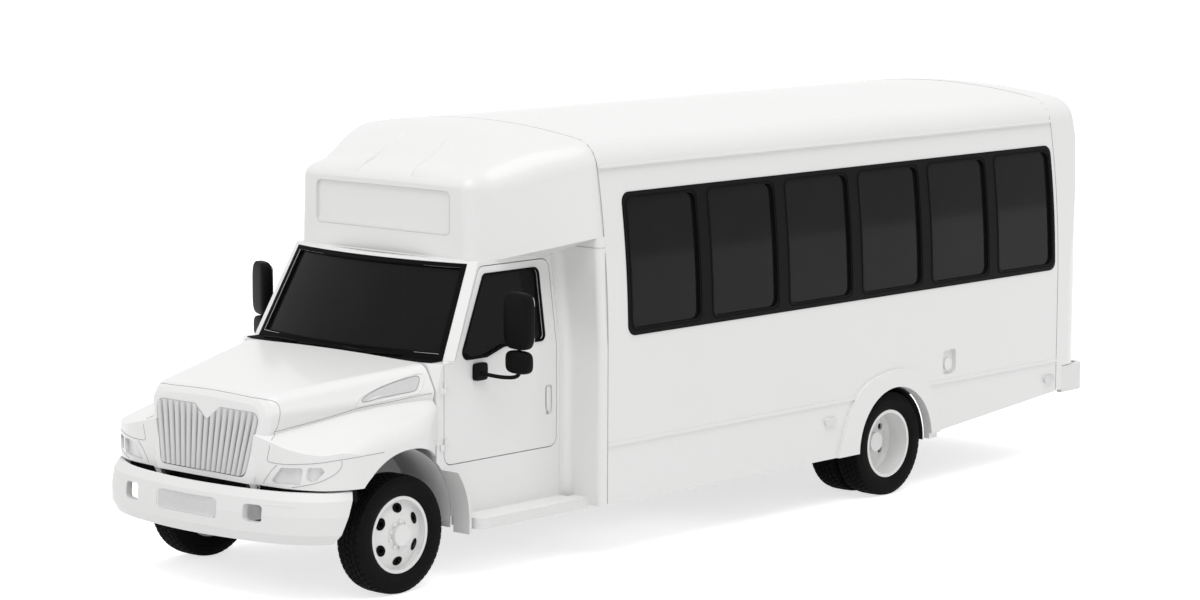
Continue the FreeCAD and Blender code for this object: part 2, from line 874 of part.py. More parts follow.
def cab_plan(z, inset):
    """Plan corners of the cab at a height, front edge straight."""
    share = max(0.0, (z - cab_belt_z) / (cab_top_z - cab_belt_z))
    half = cab_half_width + (cab_top_half - cab_half_width) * share - inset
    front_half = shield_low_half + (shield_top_half - shield_low_half) * share - inset
    front = at(shield_low_back + (shield_top_back - shield_low_back) * share) + inset
    rear = at(cab_rear_back)
    side = front + (half - front_half) * pillar_share
    return [(-front_half, front), (front_half, front), (half, side), (half, rear), (-half, rear), (-half, side)]


def bowed_wire(corners, bow, z):
    """A cab plan with its front edge bowed forwards."""
    points = [Vector(x, y, z) for x, y in corners]
    middle = (points[0] + points[1]) * 0.5 - Vector(0, bow, 0)
    edges = [Part.Arc(points[0], middle, points[1]).toShape()]
    for i in range(1, len(points)):
        edges.append(Part.LineSegment(points[i], points[(i + 1) % len(points)]).toShape())
    return Part.Wire(edges)


def cowl_bevel(inset):
    """The slanted corner off the cab's cowl beside the hood, moved in by an inset."""
    legs = (cowl_bevel_in, cowl_bevel_back, cowl_bevel_drop)
    steep = math.sqrt(sum(1 / leg ** 2 for leg in legs))
    grown = 1 + cut_overrun * sum(1 / leg for leg in legs) + inset * steep
    corner = Vector(cab_half_width + cut_overrun, at(cab_front_back) - cut_overrun, cab_belt_z + cut_overrun)
    inward = corner - Vector(cowl_bevel_in * grown, 0, 0)
    back = corner + Vector(0, cowl_bevel_back * grown, 0)
    down = corner - Vector(0, 0, cowl_bevel_drop * grown)
    sides = [(corner, inward, back), (corner, back, down), (corner, down, inward), (inward, back, down)]
    faces = [Part.Face(Part.makePolygon([a, b, c, a])) for a, b, c in sides]
    return Part.makeSolid(Part.makeShell(faces))


def cab_form(inset):
    """The cab as a solid: an upright lower box and a narrowing glasshouse."""
    low = cab_low_z + inset
    rear = at(cab_rear_back) + (cut_overrun if inset else 0)
    half = cab_half_width - inset
    belt = cab_belt_z - inset
    bevel = cowl_bevel(inset)
    lower = box(-half, half, at(cab_front_back) + inset, rear, low, belt).cut(bevel).cut(mirrored(bevel))
    top = cab_top_z + (cut_overrun if inset else 0)
    wires = [bowed_wire(stretch(cab_plan(z, inset), rear), shield_bow, z) for z in (cab_belt_z, top)]
    upper = lofted(wires, True)
    if inset:
        plan = bowed_wire(stretch(cab_plan(cab_belt_z, inset), rear), shield_bow, belt)
        upper = upper.fuse(Part.Face(plan).extrude(Vector(0, 0, inset)))
    return lower.fuse(upper)


def stretch(corners, rear):
    """The same plan with its rear edge moved."""
    moved = list(corners)
    moved[3] = (corners[3][0], rear)
    moved[4] = (corners[4][0], rear)
    return moved


def cab_walls():
    """The cab's shell before its doors and windows are cut."""
    shell = cab_form(0).cut(cab_form(cab_thickness))
    return shell


def shield_solid(border, outer, inner):
    """The windshield's curved slab between two depths behind the cab's front face."""
    wires = []
    for z in (cab_belt_z + border, cab_top_z - border):
        corners = cab_plan(z, 0)
        half = corners[1][0] - border
        front = corners[0][1]
        points = []
        for depth in (outer, inner):
            row = [Vector(-half, front + depth, z), Vector(0, front + depth - shield_bow, z)]
            points.append(row + [Vector(half, front + depth, z)])
        edges = [Part.Arc(*points[0]).toShape(), Part.LineSegment(points[0][2], points[1][2]).toShape()]
        edges += [Part.Arc(*points[1]).toShape(), Part.LineSegment(points[1][0], points[0][0]).toShape()]
        wires.append(Part.Wire(Part.__sortEdges__(edges)))
    return lofted(wires, True)


def door_outline(gap):
    """Side outline of a cab door, shrunk by a gap all round."""
    low = door_low_z + gap
    top = door_top_z - gap
    outline = [(at(door_front_back) + gap, low), (at(door_rear_back) - gap, low)]
    outline += [(at(door_rear_back) - gap, top), (at(door_pillar_back) + gap, top)]
    outline += [(at(door_pillar_foot_back) + gap, door_pillar_foot_z)]
    outline += [(at(door_front_back) + gap, door_pillar_foot_z - door_pillar_drop)]
    return outline


def door_tool(gap, clearance):
    """The doorway's room: only the side wall below the belt, and the whole pillar above it."""
    corner = door_corner - gap
    rounds = [corner, corner, corner, corner, 0, 0]
    reach = cab_half_width + cut_overrun
    outline = door_outline(gap)
    side = prism_x(outline, rounds, cab_half_width - cab_thickness - clearance, reach)
    deep = prism_x(outline, rounds, cab_top_half - cab_thickness - cut_overrun, reach)
    rear = box(0, reach, at(door_pillar_foot_back), at(cab_rear_back), cab_belt_z - clearance, cab_top_z)
    return side.fuse(deep.common(rear))


def door_window_outline(grow):
    outline = [(door_window_front_back - grow, door_window_step_z - grow)]
    outline += [(door_window_step_back + grow / 2, door_window_step_z - grow)]
    outline += [(door_window_rise_back + grow / 2, door_window_low_z - grow)]
    outline += [(door_window_rear_back + grow, door_window_low_z - grow)]
    outline += [(door_window_rear_back + grow, door_window_top_z + grow)]
    outline += [(door_window_pillar_back - grow, door_window_top_z + grow)]
    return [(at(back), z) for back, z in outline]


def cab_shell():
    """Hollow cab: cowl, pillars, header, floor, sills and the quarter behind each door."""
    shell = cab_walls()
    reach = cab_half_width + cut_overrun
    doorway = door_tool(0, panel_gap)
    shell = shell.cut(doorway).cut(mirrored(doorway))
    shell = shell.cut(shield_solid(shield_border, -cut_overrun, cab_thickness + cut_overrun))
    half = cab_half_width - cab_thickness
    floor = box(-half, half, at(cab_front_back) + cab_thickness, at(cab_rear_back),
                cab_floor_z - cab_floor_thickness, cab_floor_z)
    shell = shell.fuse(floor)
    bay = box(-wheelhouse_half, wheelhouse_half, at(cab_front_back) - cut_overrun, at(cab_rear_back) + cut_overrun,
              cab_low_z - cut_overrun, cab_floor_z - cab_floor_thickness)
    shell = shell.cut(bay)
    arch = cylinder(Vector(wheelhouse_half, front_axle_y, front_arch_z), Vector(1, 0, 0), front_arch_radius, reach)
    shell = shell.cut(arch).cut(mirrored(arch))
    hinges = [hinge_half(axis, z, way, False) for axis, z, way in left_door_hinges()]
    return fused([shell] + hinges + [mirrored(half) for half in hinges])


def windshield():
    return shield_solid(shield_border, shield_inset, shield_inset + shield_glass)


def left_door_hinges():
    """Two small strap hinges in the gap at the door's front edge."""
    axis = Vector(cab_half_width + hinge_out, at(door_front_back) + panel_gap / 2, 0)
    way = Vector(-hinge_out - hinge_bite, -hinge_arm, 0)
    return [(axis, z, way) for z in cab_hinge_zs]


def left_door():
    """A cab door: the cab wall inside the doorway, with its window and handle recess cut."""
    reach = cab_half_width + cut_overrun
    inner = cab_top_half - cab_thickness - cut_overrun
    door = cab_walls().common(door_tool(panel_gap, 0))
    door = door.cut(prism_x(door_window_outline(0), door_window_corner, inner, reach))
    y0 = at(door_handle_back)
    z0 = door_handle_z - door_handle_height / 2
    recess = rectangle(y0, y0 + door_handle_width, z0, z0 + door_handle_height)
    door = door.cut(prism_x(recess, door_handle_width / 3, cab_half_width - door_handle_depth, reach))
    return with_hinges(door, left_door_hinges(), True)


def left_door_glass():
    inner = cab_top_half - cab_thickness - cut_overrun
    reach = cab_half_width + cut_overrun
    pane = cab_form(door_glass_inset).cut(cab_form(door_glass_inset + glass_thickness))
    pane = pane.common(prism_x(door_window_outline(0), door_window_corner, inner, reach))
    return pane


def left_mirror():
    """Mirror head, spot mirror, L-shaped arm and its foot on the door."""
    head = box(mirror_out - mirror_half_width, mirror_out + mirror_half_width,
               at(mirror_back) - mirror_depth / 2, at(mirror_back) + mirror_depth / 2, mirror_low_z, mirror_high_z)
    head = head.makeFillet(mirror_round, head.Edges)
    spot = box(mirror_out - mirror_half_width, mirror_out + mirror_half_width,
               at(mirror_back) - mirror_depth / 2, at(mirror_back) + mirror_depth / 2, spot_low_z, spot_high_z)
    spot = spot.makeFillet(mirror_round, spot.Edges)
    foot_x = cab_half_width + mirror_base_depth
    foot = box(cab_half_width, foot_x, at(mirror_base_back) - mirror_base_half_length,
               at(mirror_base_back) + mirror_base_half_length, mirror_arm_z - mirror_base_half_height,
               mirror_arm_z + mirror_base_half_height)
    run = Vector(mirror_out - cab_half_width, mirror_back - mirror_base_back, 0)
    arm_start = Vector(cab_half_width, at(mirror_base_back), mirror_arm_z) + run * mirror_arm_share
    arm = cylinder(arm_start, run, mirror_arm_radius, run.Length * (1 - mirror_arm_share))
    post = cylinder(Vector(mirror_out, at(mirror_back), mirror_arm_z), Vector(0, 0, 1), mirror_arm_radius,
                    mirror_high_z - mirror_round - mirror_arm_z)
    elbow = Part.makeSphere(mirror_arm_radius, Vector(mirror_out, at(mirror_back), mirror_arm_z))
    return fused([head, spot, foot, arm, post, elbow])


def running_boards():
    """Flat boards below the doors, on the cab's sills, cut back round the corner panels' lips."""
    rear = at(cab_rear_back) + corner_set_back
    lip_front = at(cab_rear_back) - corner_cove
    lip_out = cab_half_width + panel_gap + corner_cove + panel_gap
    outline = [(board_in, at(board_front_back)), (board_out, at(board_front_back)), (board_out, rear)]
    outline += [(lip_out, rear), (lip_out, lip_front), (board_in, lip_front)]
    board = prism_z(outline, [0, board_corner, 0, 0, 0, 0], cab_low_z - board_thickness, cab_low_z)
    return both_sides(board)


def splash_guards():
    """Curved guards behind the front wheels, on the cab's sides, below the hood's fenders."""
    outer = front_arch_radius + guard_thickness
    width = guard_out - cab_half_width
    centre = Vector(cab_half_width, front_axle_y, front_arch_z)
    ring = cylinder(centre, Vector(1, 0, 0), outer, width)
    ring = ring.cut(cylinder(centre, Vector(1, 0, 0), front_arch_radius, width))
    top = front_arch_z + outer * guard_top_share
    keep = box(cab_half_width, guard_out, front_axle_y, front_axle_y + outer + cut_overrun, front_arch_z, top)
    leg = box(cab_half_width, guard_out, front_axle_y + front_arch_radius, front_axle_y + outer, guard_low_z,
              front_arch_z)
    return both_sides(fused([ring.common(keep), leg]))


def hood_section(share, draw, inset):
    """A cross-section of the hood without its fenders; share runs from nose to cowl."""
    def between(nose, cowl):
        return nose + (cowl - nose) * share

    low = hood_low_z - (cut_overrun if inset else 0)
    back = between(hood_front_back, hood_rear_back) + inset * (1 - share)
    if inset and share == 1:
        back += cut_overrun
    lean_share = hood_top_lean / (hood_nose_top_z - hood_low_z) * (1 - share)
    deck_z = between(hood_nose_top_z, hood_cowl_z) - draw - inset
    deck = between(nose_deck_half, cowl_deck_half) - draw - inset
    side_z = between(nose_side_z, cowl_side_z) - draw / 2 - inset
    side = between(nose_side_half, cowl_side_half) - draw - inset
    foot = between(nose_low_half, cowl_low_half) - draw - inset
    half = [(foot, low), (side, side_z), (deck, deck_z)]
    outline = half + [(0.0, deck_z + hood_crown)] + [(-x, z) for x, z in reversed(half)]
    crown = crown_radius(deck, hood_crown, hood_crown_share)
    radii = [0, hood_side_round, hood_deck_round, crown, hood_deck_round, hood_side_round, 0]
    return rounded_wire([Vector(x, at(back) + lean_share * (z - hood_low_z), z) for x, z in outline], radii)


def hood_centre(inset):
    """The hood from grille to cowl: a rounded nose that widens towards the windshield."""
    length = hood_rear_back - hood_front_back
    stations = [(nose_round * place / length, nose_draw * drawn)
                for place, drawn in zip(nose_back_shares, nose_draw_shares)]
    stations.append((1, 0))
    return lofted([hood_section(share, draw, inset) for share, draw in stations], True)


def fender_section(index, inset):
    """One cross-section through both fenders, below the hood's sides."""
    low = hood_low_z - (cut_overrun if inset else 0)
    outer = fender_halves[index] - inset
    seam = fender_seam_halves[index] - fender_tuck - inset
    seam_z = fender_seam_zs[index] + panel_gap - inset
    half = [(outer, low), (outer, fender_shoulder_zs[index] - inset), (seam, seam_z)]
    outline = half + [(-x, z) for x, z in reversed(half)]
    radius = fender_rounds[index] - inset / 2
    y = at(fender_backs[index])
    if inset and index == len(fender_backs) - 1:
        y += cut_overrun
    return rounded_wire([Vector(x, y, z) for x, z in outline], [0, radius, 0, 0, radius, 0])


def fenders(inset):
    """Both fenders as one solid, trimmed to the nose's curved plan."""
    body = lofted([fender_section(index, inset) for index in range(len(fender_backs))], False)
    right = [(x - inset, at(back) + inset) for x, back in zip(fender_nose_halves, fender_nose_backs)]
    rear = at(hood_rear_back) + cut_overrun * 2
    plan = right + [(right[-1][0], rear), (-right[-1][0], rear)] + [(-x, y) for x, y in reversed(right)]
    radii = fender_nose_rounds + [0, 0] + list(reversed(fender_nose_rounds))
    return body.common(prism_z(plan, radii, hood_low_z - cut_overrun * 2, hood_cowl_z))


def hood_form(inset):
    """Hood and fenders as one solid."""
    return hood_centre(inset).fuse(fenders(inset))


def grille_outline(grow):
    """The grille's rounded trapezoid with a pointed notch in the middle of its top edge."""
    top = grille_top_z + grow
    low = grille_low_z - grow
    outline = [(-grille_low_half - grow, low), (grille_low_half + grow, low), (grille_top_half + grow, top)]
    outline += [(grille_notch_half, top), (0.0, top - grille_notch_depth), (-grille_notch_half, top)]
    outline += [(-grille_top_half - grow, top)]
    return outline


def hood_pivot(x):
    return Vector(x, at(hood_pivot_back), hood_pivot_z)


def hood_lug():
    """The left barrel under the nose that turns on the frame's pin, and the web that carries it."""
    pivot = hood_pivot(hood_lug_half)
    barrel = cylinder(pivot, Vector(1, 0, 0), hood_lug_radius, hood_lug_length)
    wall = at(hood_front_back) + hood_shell
    web = [(pivot.y - hood_lug_radius, hood_pivot_z), (pivot.y + hood_lug_radius, hood_pivot_z)]
    web += [(wall + hood_lug_radius, hood_low_z + hood_lug_length), (wall - hood_shell / 2, hood_low_z + hood_lug_length)]
    web += [(wall - hood_shell / 2, hood_low_z)]
    return barrel.fuse(prism_x(web, 0, hood_lug_half, hood_lug_half + hood_lug_length))


def hood():
    """The tilting hood: a hollow shell with wheel arches, grille and lamp openings."""
    shell = hood_form(0).cut(hood_form(hood_shell))
    reach = fender_half + cut_overrun
    arch = cylinder(Vector(-reach, front_axle_y, front_arch_z), Vector(1, 0, 0), front_arch_radius, reach * 2)
    shell = shell.cut(arch)
    guard = cylinder(Vector(-reach, front_axle_y, front_arch_z), Vector(1, 0, 0),
                     front_arch_radius + guard_thickness + hood_gap, reach * 2)
    rear_low = box(-reach, reach, front_axle_y, at(hood_rear_back) + cut_overrun,
                   hood_low_z - cut_overrun * 2, front_arch_z + (front_arch_radius + guard_thickness) * guard_top_share
                   + hood_gap)
    shell = shell.cut(guard.common(rear_low))
    shell = shell.cut(box(-reach, reach, front_axle_y + front_arch_radius * guard_top_share,
                          at(hood_rear_back) + cut_overrun, hood_low_z - cut_overrun * 2, tail_low_z))
    radii = [grille_corner, grille_corner, grille_corner, grille_corner / 2, 0, grille_corner / 2, grille_corner]
    front = at(hood_front_back)
    opening = prism_y(grille_outline(0), radii, front - cut_overrun, front + grille_depth * 2)
    shell = shell.cut(opening)
    for outline in lamp_outlines(1, 0) + lamp_outlines(-1, 0):
        shell = shell.cut(prism_y(outline, lamp_corner, front - cut_overrun, at(0)))
    lug = hood_lug()
    shell = fused([shell, lug, mirrored(lug)])
    bore_half = hood_lug_half + hood_lug_length + panel_gap
    pin = cylinder(hood_pivot(-bore_half), Vector(1, 0, 0), hood_pin_radius + running_clearance, bore_half * 2)
    return shell.cut(pin)


def lamp_outlines(side, border):
    """The corners of the two lenses on a side, drawn in by a border."""
    outlines = []
    for halves, zs in ((lamp_inner_halves, lamp_inner_zs), (lamp_outer_halves, lamp_outer_zs)):
        middle = Vector(sum(halves) / len(halves), sum(zs) / len(zs), 0)
        corners = []
        for half, z in zip(halves, zs):
            corner = Vector(half, z, 0)
            corner += (middle - corner).normalize() * border
            corners.append((corner.x * side, corner.y))
        outlines.append(corners)
    return outlines


def grille():
    """Upright rounded bars in front of a back plate, cut to the grille's outline."""
    front = at(hood_front_back)
    radii = [grille_corner, grille_corner, grille_corner, grille_corner / 2, 0, grille_corner / 2, grille_corner]
    depth = grille_depth
    plate = prism_y(grille_outline(-seat_gap), radii, front + depth - grille_back_plate, front + depth)
    pitch = grille_top_half * 2 / grille_bar_count
    height = grille_top_z - grille_low_z
    bars = [plate]
    envelope = prism_y(grille_outline(-panel_gap), radii, front, front + depth)
    for index in range(grille_bar_count):
        top_x = pitch * (index - (grille_bar_count - 1) / 2)
        low_x = top_x * grille_low_half / grille_top_half
        foot = Vector(low_x, front + grille_bar_radius, grille_low_z)
        head = Vector(top_x, front + grille_bar_radius + hood_top_lean * 0.6, grille_top_z)
        bar = cylinder(foot, head - foot, grille_bar_radius, height * 1.02)
        bars.append(bar.common(envelope))
    web = box(-grille_top_half, grille_top_half, front + grille_bar_radius, front + depth, grille_low_z,
              grille_low_z + grille_bar_radius)
    bars.append(web.common(envelope))
    return fused(bars)


def headlamps():
    """A lens in each lamp opening, set back from the fender's face."""
    depth = fenders(lamp_lens_inset).cut(fenders(lamp_lens_inset + lamp_lens_thickness))
    front = at(hood_front_back) - cut_overrun
    outlines = lamp_outlines(1, seat_gap) + lamp_outlines(-1, seat_gap)
    return Part.makeCompound([prism_y(outline, lamp_corner, front, at(0)).common(depth) for outline in outlines])


def bumper_wire(z, draw, overrun):
    """The bumper's curved plan at a height, drawn in from its widest line."""
    right = [Vector(half * (1 - draw / bumper_halves[-1]), at(back) + draw, z)
             for half, back in zip(bumper_halves, bumper_backs)]
    end = right[-1] + Vector(0, overrun, 0)
    right[-1] = end
    left = [Vector(-point.x, point.y, z) for point in reversed(right[1:])]
    curve = Part.BSplineCurve()
    curve.interpolate(left + right)
    base = Part.LineSegment(end, left[0])
    return Part.Wire([curve.toShape(), base.toShape()])


def bumper_block(inset, overrun):
    """The bumper as a solid block, drawn in at its top and its chin."""
    wires = []
    for share, draw in zip(bumper_z_shares, bumper_draws):
        z = bumper_low_z + (bumper_top_z - bumper_low_z) * share
        if overrun and share in (0, 1):
            z += overrun if share else -overrun
        wires.append(bumper_wire(z, draw + inset, overrun))
    return lofted(wires, True)


def front_bumper():
    """A deep bumper shell with a blank plate recess and two fog openings right through."""
    outer = bumper_block(0, 0)
    inner = bumper_block(bumper_wall, cut_overrun)
    shell = outer.cut(inner)
    front = at(-front_overhang) - cut_overrun
    for side in (1, -1):
        x0 = (fog_half_gap + fog_width / 2) * side - fog_width / 2
        z0 = fog_z - fog_height / 2
        hole = prism_y(rectangle(x0, x0 + fog_width, z0, z0 + fog_height), fog_corner, front, at(bumper_backs[-1]))
        shell = shell.cut(hole)
    z0 = fog_z - plate_height / 2
    plate = rectangle(-plate_width / 2, plate_width / 2, z0, z0 + plate_height)
    shell = shell.cut(prism_y(plate, plate_corner, front, at(-front_overhang) + plate_depth))
    for side in (1, -1):
        start = Vector(plate_hole_half * side, front, fog_z)
        shell = shell.cut(cylinder(start, Vector(0, 1, 0), plate_hole_radius, cut_overrun * 2 + bumper_wall))
    end = at(bumper_backs[-1])
    slant = [(end, bumper_top_z), (end - bumper_end_slant, bumper_low_z), (end + cut_overrun, bumper_low_z),
             (end + cut_overrun, bumper_top_z)]
    reach = bumper_halves[-1] + cut_overrun
    shell = shell.cut(prism_x(slant, 0, -reach, reach))
    arms = []
    for side in (1, -1):
        x1 = rail_outer_half * side
        x0 = (rail_outer_half - rail_flange) * side
        arms.append(box(x0, x1, at(-front_overhang) + bumper_wall, at(rail_front_back), rail_top_z - rail_height,
                        rail_top_z - bumper_wall))
    return fused([shell] + arms)


def rear_bumper():
    """A bar across the tail, standing off the body on two arms, wrapping its corners."""
    rear = rear_end_y
    front = at(rear_bumper_front_back)
    half = rear_bumper_half
    outline = [(-half, front), (half, front), (half, rear), (-half, rear)]
    radii = [0, 0, rear_bumper_corner, rear_bumper_corner]
    outer = prism_z(outline, radii, rear_bumper_low_z, rear_bumper_top_z)
    inner_half = half - rear_bumper_wall
    outline = [(-inner_half, front - cut_overrun), (inner_half, front - cut_overrun)]
    outline += [(inner_half, rear - rear_bumper_wall), (-inner_half, rear - rear_bumper_wall)]
    radii = [0, 0, rear_bumper_corner - rear_bumper_wall, rear_bumper_corner - rear_bumper_wall]
    shell = outer.cut(prism_z(outline, radii, rear_bumper_low_z - cut_overrun, rear_bumper_top_z + cut_overrun))
    parts = [shell]
    for side in (1, -1):
        x1 = rail_outer_half * side
        x0 = (rail_outer_half - rail_flange) * side
        parts.append(box(x0, x1, at(rail_rear_back), rear - rear_bumper_wall, rear_bumper_low_z,
                         rear_bumper_low_z + rear_bumper_arm))
    return fused(parts)


def rear_profile(inset):
    """Side outline of the rear cap: a bulging face that tucks in above and below."""
    rear = at(rear_face_back) - inset
    front = at(rear_seam_back) - cut_overrun * 2
    low = rear_cap_low_z - cut_overrun
    outline = [(front, low), (rear - rear_low_tuck, low), (rear, rear_bulge_low_z), (rear, rear_bulge_high_z)]
    outline += [(rear - rear_high_tuck, roof_apex_z - inset - roof_drop()), (front, roof_apex_z)]
    return outline


def roof_drop():
    """How far the crown lies under the apex of its tangents."""
    return (roof_apex_z - roof_shoulder_z) / 2


def rear_cap_form(inset):
    y0 = at(rear_seam_back) - (cut_overrun if inset else 0)
    y1 = at(rear_face_back) + cut_overrun
    low = rear_cap_low_z - (cut_overrun if inset else 0)
    block = body_block(inset, low, y0, y1)
    rounds = [0, 0, rear_bulge_round, rear_bulge_round, rear_cap_top_round - inset, 0]
    width = body_half_width + cut_overrun
    side = prism_x(rear_profile(inset), rounds, -width, width)
    rear = at(rear_face_back) - inset
    near = y0 - cut_overrun
    corner_x = body_half_width - inset
    plan = [(-corner_x, near), (corner_x, near), (corner_x, rear), (-corner_x, rear)]
    corner = rear_cap_corner - inset
    plan_block = prism_z(plan, [0, 0, corner, corner], low - cut_overrun, roof_apex_z + cut_overrun)
    return block.common([side], join_tolerance).common([plan_block], join_tolerance)


def rear_shell():
    """The rear cap's hollow shell before its door opening is cut."""
    return rear_cap_form(0).cut(rear_cap_form(rear_cap_thickness))


def rear_door_outline(hinge_gap, latch_gap):
    """The rear doorway, hinged on the driver's side, with a gap round the door."""
    return rectangle(-rear_door_half + latch_gap, rear_door_half - hinge_gap, rear_door_low_z + hinge_gap,
                     rear_door_high_z - hinge_gap)


def rear_cap():
    """Hollow rear end with an opening for the emergency door."""
    y0 = at(rear_seam_back) + rear_cap_thickness
    opening = prism_y(rear_door_outline(0, 0), rear_door_corner, y0, rear_end_y + cut_overrun)
    cap = rear_shell().cut(opening).cut(bumper_space())
    for side in (1, -1):
        x1 = (rail_outer_half + panel_gap) * side
        x0 = (rail_outer_half - rail_flange - panel_gap) * side
        notch = box(x0, x1, y0, rear_end_y + cut_overrun, rear_cap_low_z - cut_overrun,
                    rear_bumper_low_z + rear_bumper_arm + panel_gap)
        cap = cap.cut(notch)
    return with_hinges(cap, rear_hinges(), False)


def bumper_space():
    """The room the wrap-round rear bumper needs, with a gap on every side."""
    front = at(rear_bumper_front_back) - panel_gap
    half = rear_bumper_half + cut_overrun
    low = rear_bumper_low_z - cut_overrun
    top = rear_bumper_top_z + panel_gap
    inner_half = rear_bumper_half - rear_bumper_wall - panel_gap
    inner_rear = rear_end_y - rear_bumper_wall - panel_gap
    corner = rear_bumper_corner - rear_bumper_wall
    room = box(-half, half, front, rear_end_y + cut_overrun, low, top)
    outline = rectangle(-inner_half, inner_half, front - cut_overrun, inner_rear)
    return room.cut(prism_z(outline, [0, 0, corner, corner], low - cut_overrun, top + cut_overrun))


def rear_hinges():
    """Three strap hinges on the driver's side of the rear door."""
    axis = Vector(rear_door_half - panel_gap / 2, at(rear_face_back) + hinge_out, 0)
    hinges = []
    for z in rear_hinge_zs:
        rise = max(0.0, z + hinge_half_length - rear_bulge_high_z)
        tuck = rear_high_tuck * rise / (roof_apex_z - roof_drop() - rear_bulge_high_z)
        hinges.append((axis, z, Vector(hinge_arm, -hinge_out - hinge_bite - tuck, 0)))
    return hinges


def rear_door():
    """The emergency door: the shell inside the opening, with its window cut."""
    y0 = at(rear_seam_back) + rear_cap_thickness
    outline = rear_door_outline(panel_gap, rear_latch_gap)
    door = rear_shell().common(prism_y(outline, rear_door_corner - panel_gap, y0, rear_end_y + cut_overrun))
    pane = rectangle(-rear_pane_half, rear_pane_half, rear_pane_low_z, rear_pane_high_z)
    door = door.cut(prism_y(pane, rear_pane_corner, y0, rear_end_y + cut_overrun))
    return with_hinges(door, rear_hinges(), True)


def rear_door_glass():
    y0 = at(rear_seam_back) + rear_cap_thickness
    sheet = rear_cap_form(glass_inset).cut(rear_cap_form(glass_inset + glass_thickness))
    pane = rectangle(-rear_pane_half, rear_pane_half, rear_pane_low_z, rear_pane_high_z)
    return sheet.common(prism_y(pane, rear_pane_corner, y0, rear_end_y + cut_overrun))


def entry_hinges(front):
    """Three strap hinges at a leaf's outer edge, with arms that reach the leaning wall."""
    y = at(entry_front_back) + panel_gap / 2 if front else at(entry_rear_back) - panel_gap / 2
    axis = Vector(-body_half_width - hinge_out, y, 0)
    hinges = []
    for z in entry_hinge_zs:
        lean = body_half_width - wall_x(z + hinge_half_length * 2, 0)
        hinges.append((axis, z, Vector(hinge_out + hinge_bite + lean, -hinge_arm if front else hinge_arm, 0)))
    return hinges


def entry_leaf(front):
    """One entry leaf on the right side, as a frame with a tall opening for its pane."""
    y0, y1 = leaf_span(front)
    inside = wall_x(gutter_z, -wall_thickness) - cut_overrun
    reach = body_half_width + cut_overrun
    slab = wall_slab(0, -leaf_thickness, entry_low_z, entry_high_z, y0, y1)
    doorway = rectangle(at(entry_front_back) + panel_gap, at(entry_rear_back) - panel_gap, entry_low_z + panel_gap,
                        entry_high_z - panel_gap)
    slab = slab.common(prism_x(doorway, entry_corner, inside, reach))
    pane = rectangle(y0 + leaf_frame, y1 - leaf_frame, leaf_pane_low_z, leaf_pane_high_z)
    leaf = mirrored(slab.cut(prism_x(pane, leaf_pane_corner, inside, reach)))
    return with_hinges(leaf, entry_hinges(front), True)


def leaf_span(front):
    middle = (at(entry_front_back) + at(entry_rear_back)) / 2
    if front:
        return at(entry_front_back) + panel_gap, middle - leaf_meeting_gap / 2
    return middle + leaf_meeting_gap / 2, at(entry_rear_back) - panel_gap


def entry_leaf_glass(front):
    y0, y1 = leaf_span(front)
    inside = wall_x(gutter_z, -wall_thickness) - cut_overrun
    reach = body_half_width + cut_overrun
    slab = wall_slab(-glass_inset, -glass_inset - glass_thickness, entry_low_z, entry_high_z, y0, y1)
    pane = rectangle(y0 + leaf_frame, y1 - leaf_frame, leaf_pane_low_z, leaf_pane_high_z)
    return mirrored(slab.common(prism_x(pane, leaf_pane_corner, inside, reach)))


def saloon_floor():
    """The saloon floor on cross sills, with a stepped well inside the entry doorway."""
    inner = body_half_width - wall_thickness
    y0 = at(cab_rear_back)
    y1 = at(rear_face_back) - rear_cap_thickness
    low = floor_top_z - floor_thickness
    narrow = cab_top_half - cab_thickness
    neck = box(-narrow, narrow, y0, at(coach_front_back), low, floor_top_z)
    outline = rectangle(-inner, inner, at(coach_front_back), y1)
    corner = rear_cap_corner - rear_cap_thickness
    plate = prism_z(outline, [0, 0, corner, corner], low, floor_top_z)
    plate = plate.common(box(-inner, inner, y0, at(floor_rear_back), low, floor_top_z)).fuse(neck)
    sills = []
    for back in sill_backs:
        sills.append(box(-sill_half, sill_half, at(back) - sill_width / 2, at(back) + sill_width / 2,
                         rail_top_z, low))
    plate = fused([plate] + sills)
    well = box(-inner, -inner + stepwell_depth, at(entry_front_back) - stepwell_sheet,
               at(entry_rear_back) + stepwell_sheet, entry_low_z, floor_top_z + cut_overrun)
    return plate.cut(well)


def entry_steps():
    """Folded sheet steps between two side plates, in a well cut from the saloon floor."""
    inner = body_half_width - wall_thickness
    y0 = at(entry_front_back) - stepwell_sheet
    y1 = at(entry_rear_back) + stepwell_sheet
    sheet = stepwell_sheet
    parts = []
    low = entry_low_z
    x_out = -inner
    top = floor_top_z
    x_end = -inner + stepwell_depth
    for index in range(step_count):
        z = low + step_rise * index
        x = x_out + step_run * index
        x_stop = min(x + step_run + sheet, x_end)
        if index == step_count - 1:
            x_stop = x_end
        parts.append(box(x, x_stop, y0, y1, z, z + sheet))
        riser_top = low + step_rise * (index + 1) if index < step_count - 1 else top
        parts.append(box(x_stop - sheet, x_stop, y0, y1, z, riser_top))
    side = [(x_out, low), (x_out + step_run + sheet, low), (x_end, low + step_rise * (step_count - 1)), (x_end, top)]
    side += [(x_out, top)]
    parts.append(prism_y(side, 0, y0, y0 + sheet))
    parts.append(prism_y(side, 0, y1 - sheet, y1))
    return fused(parts)


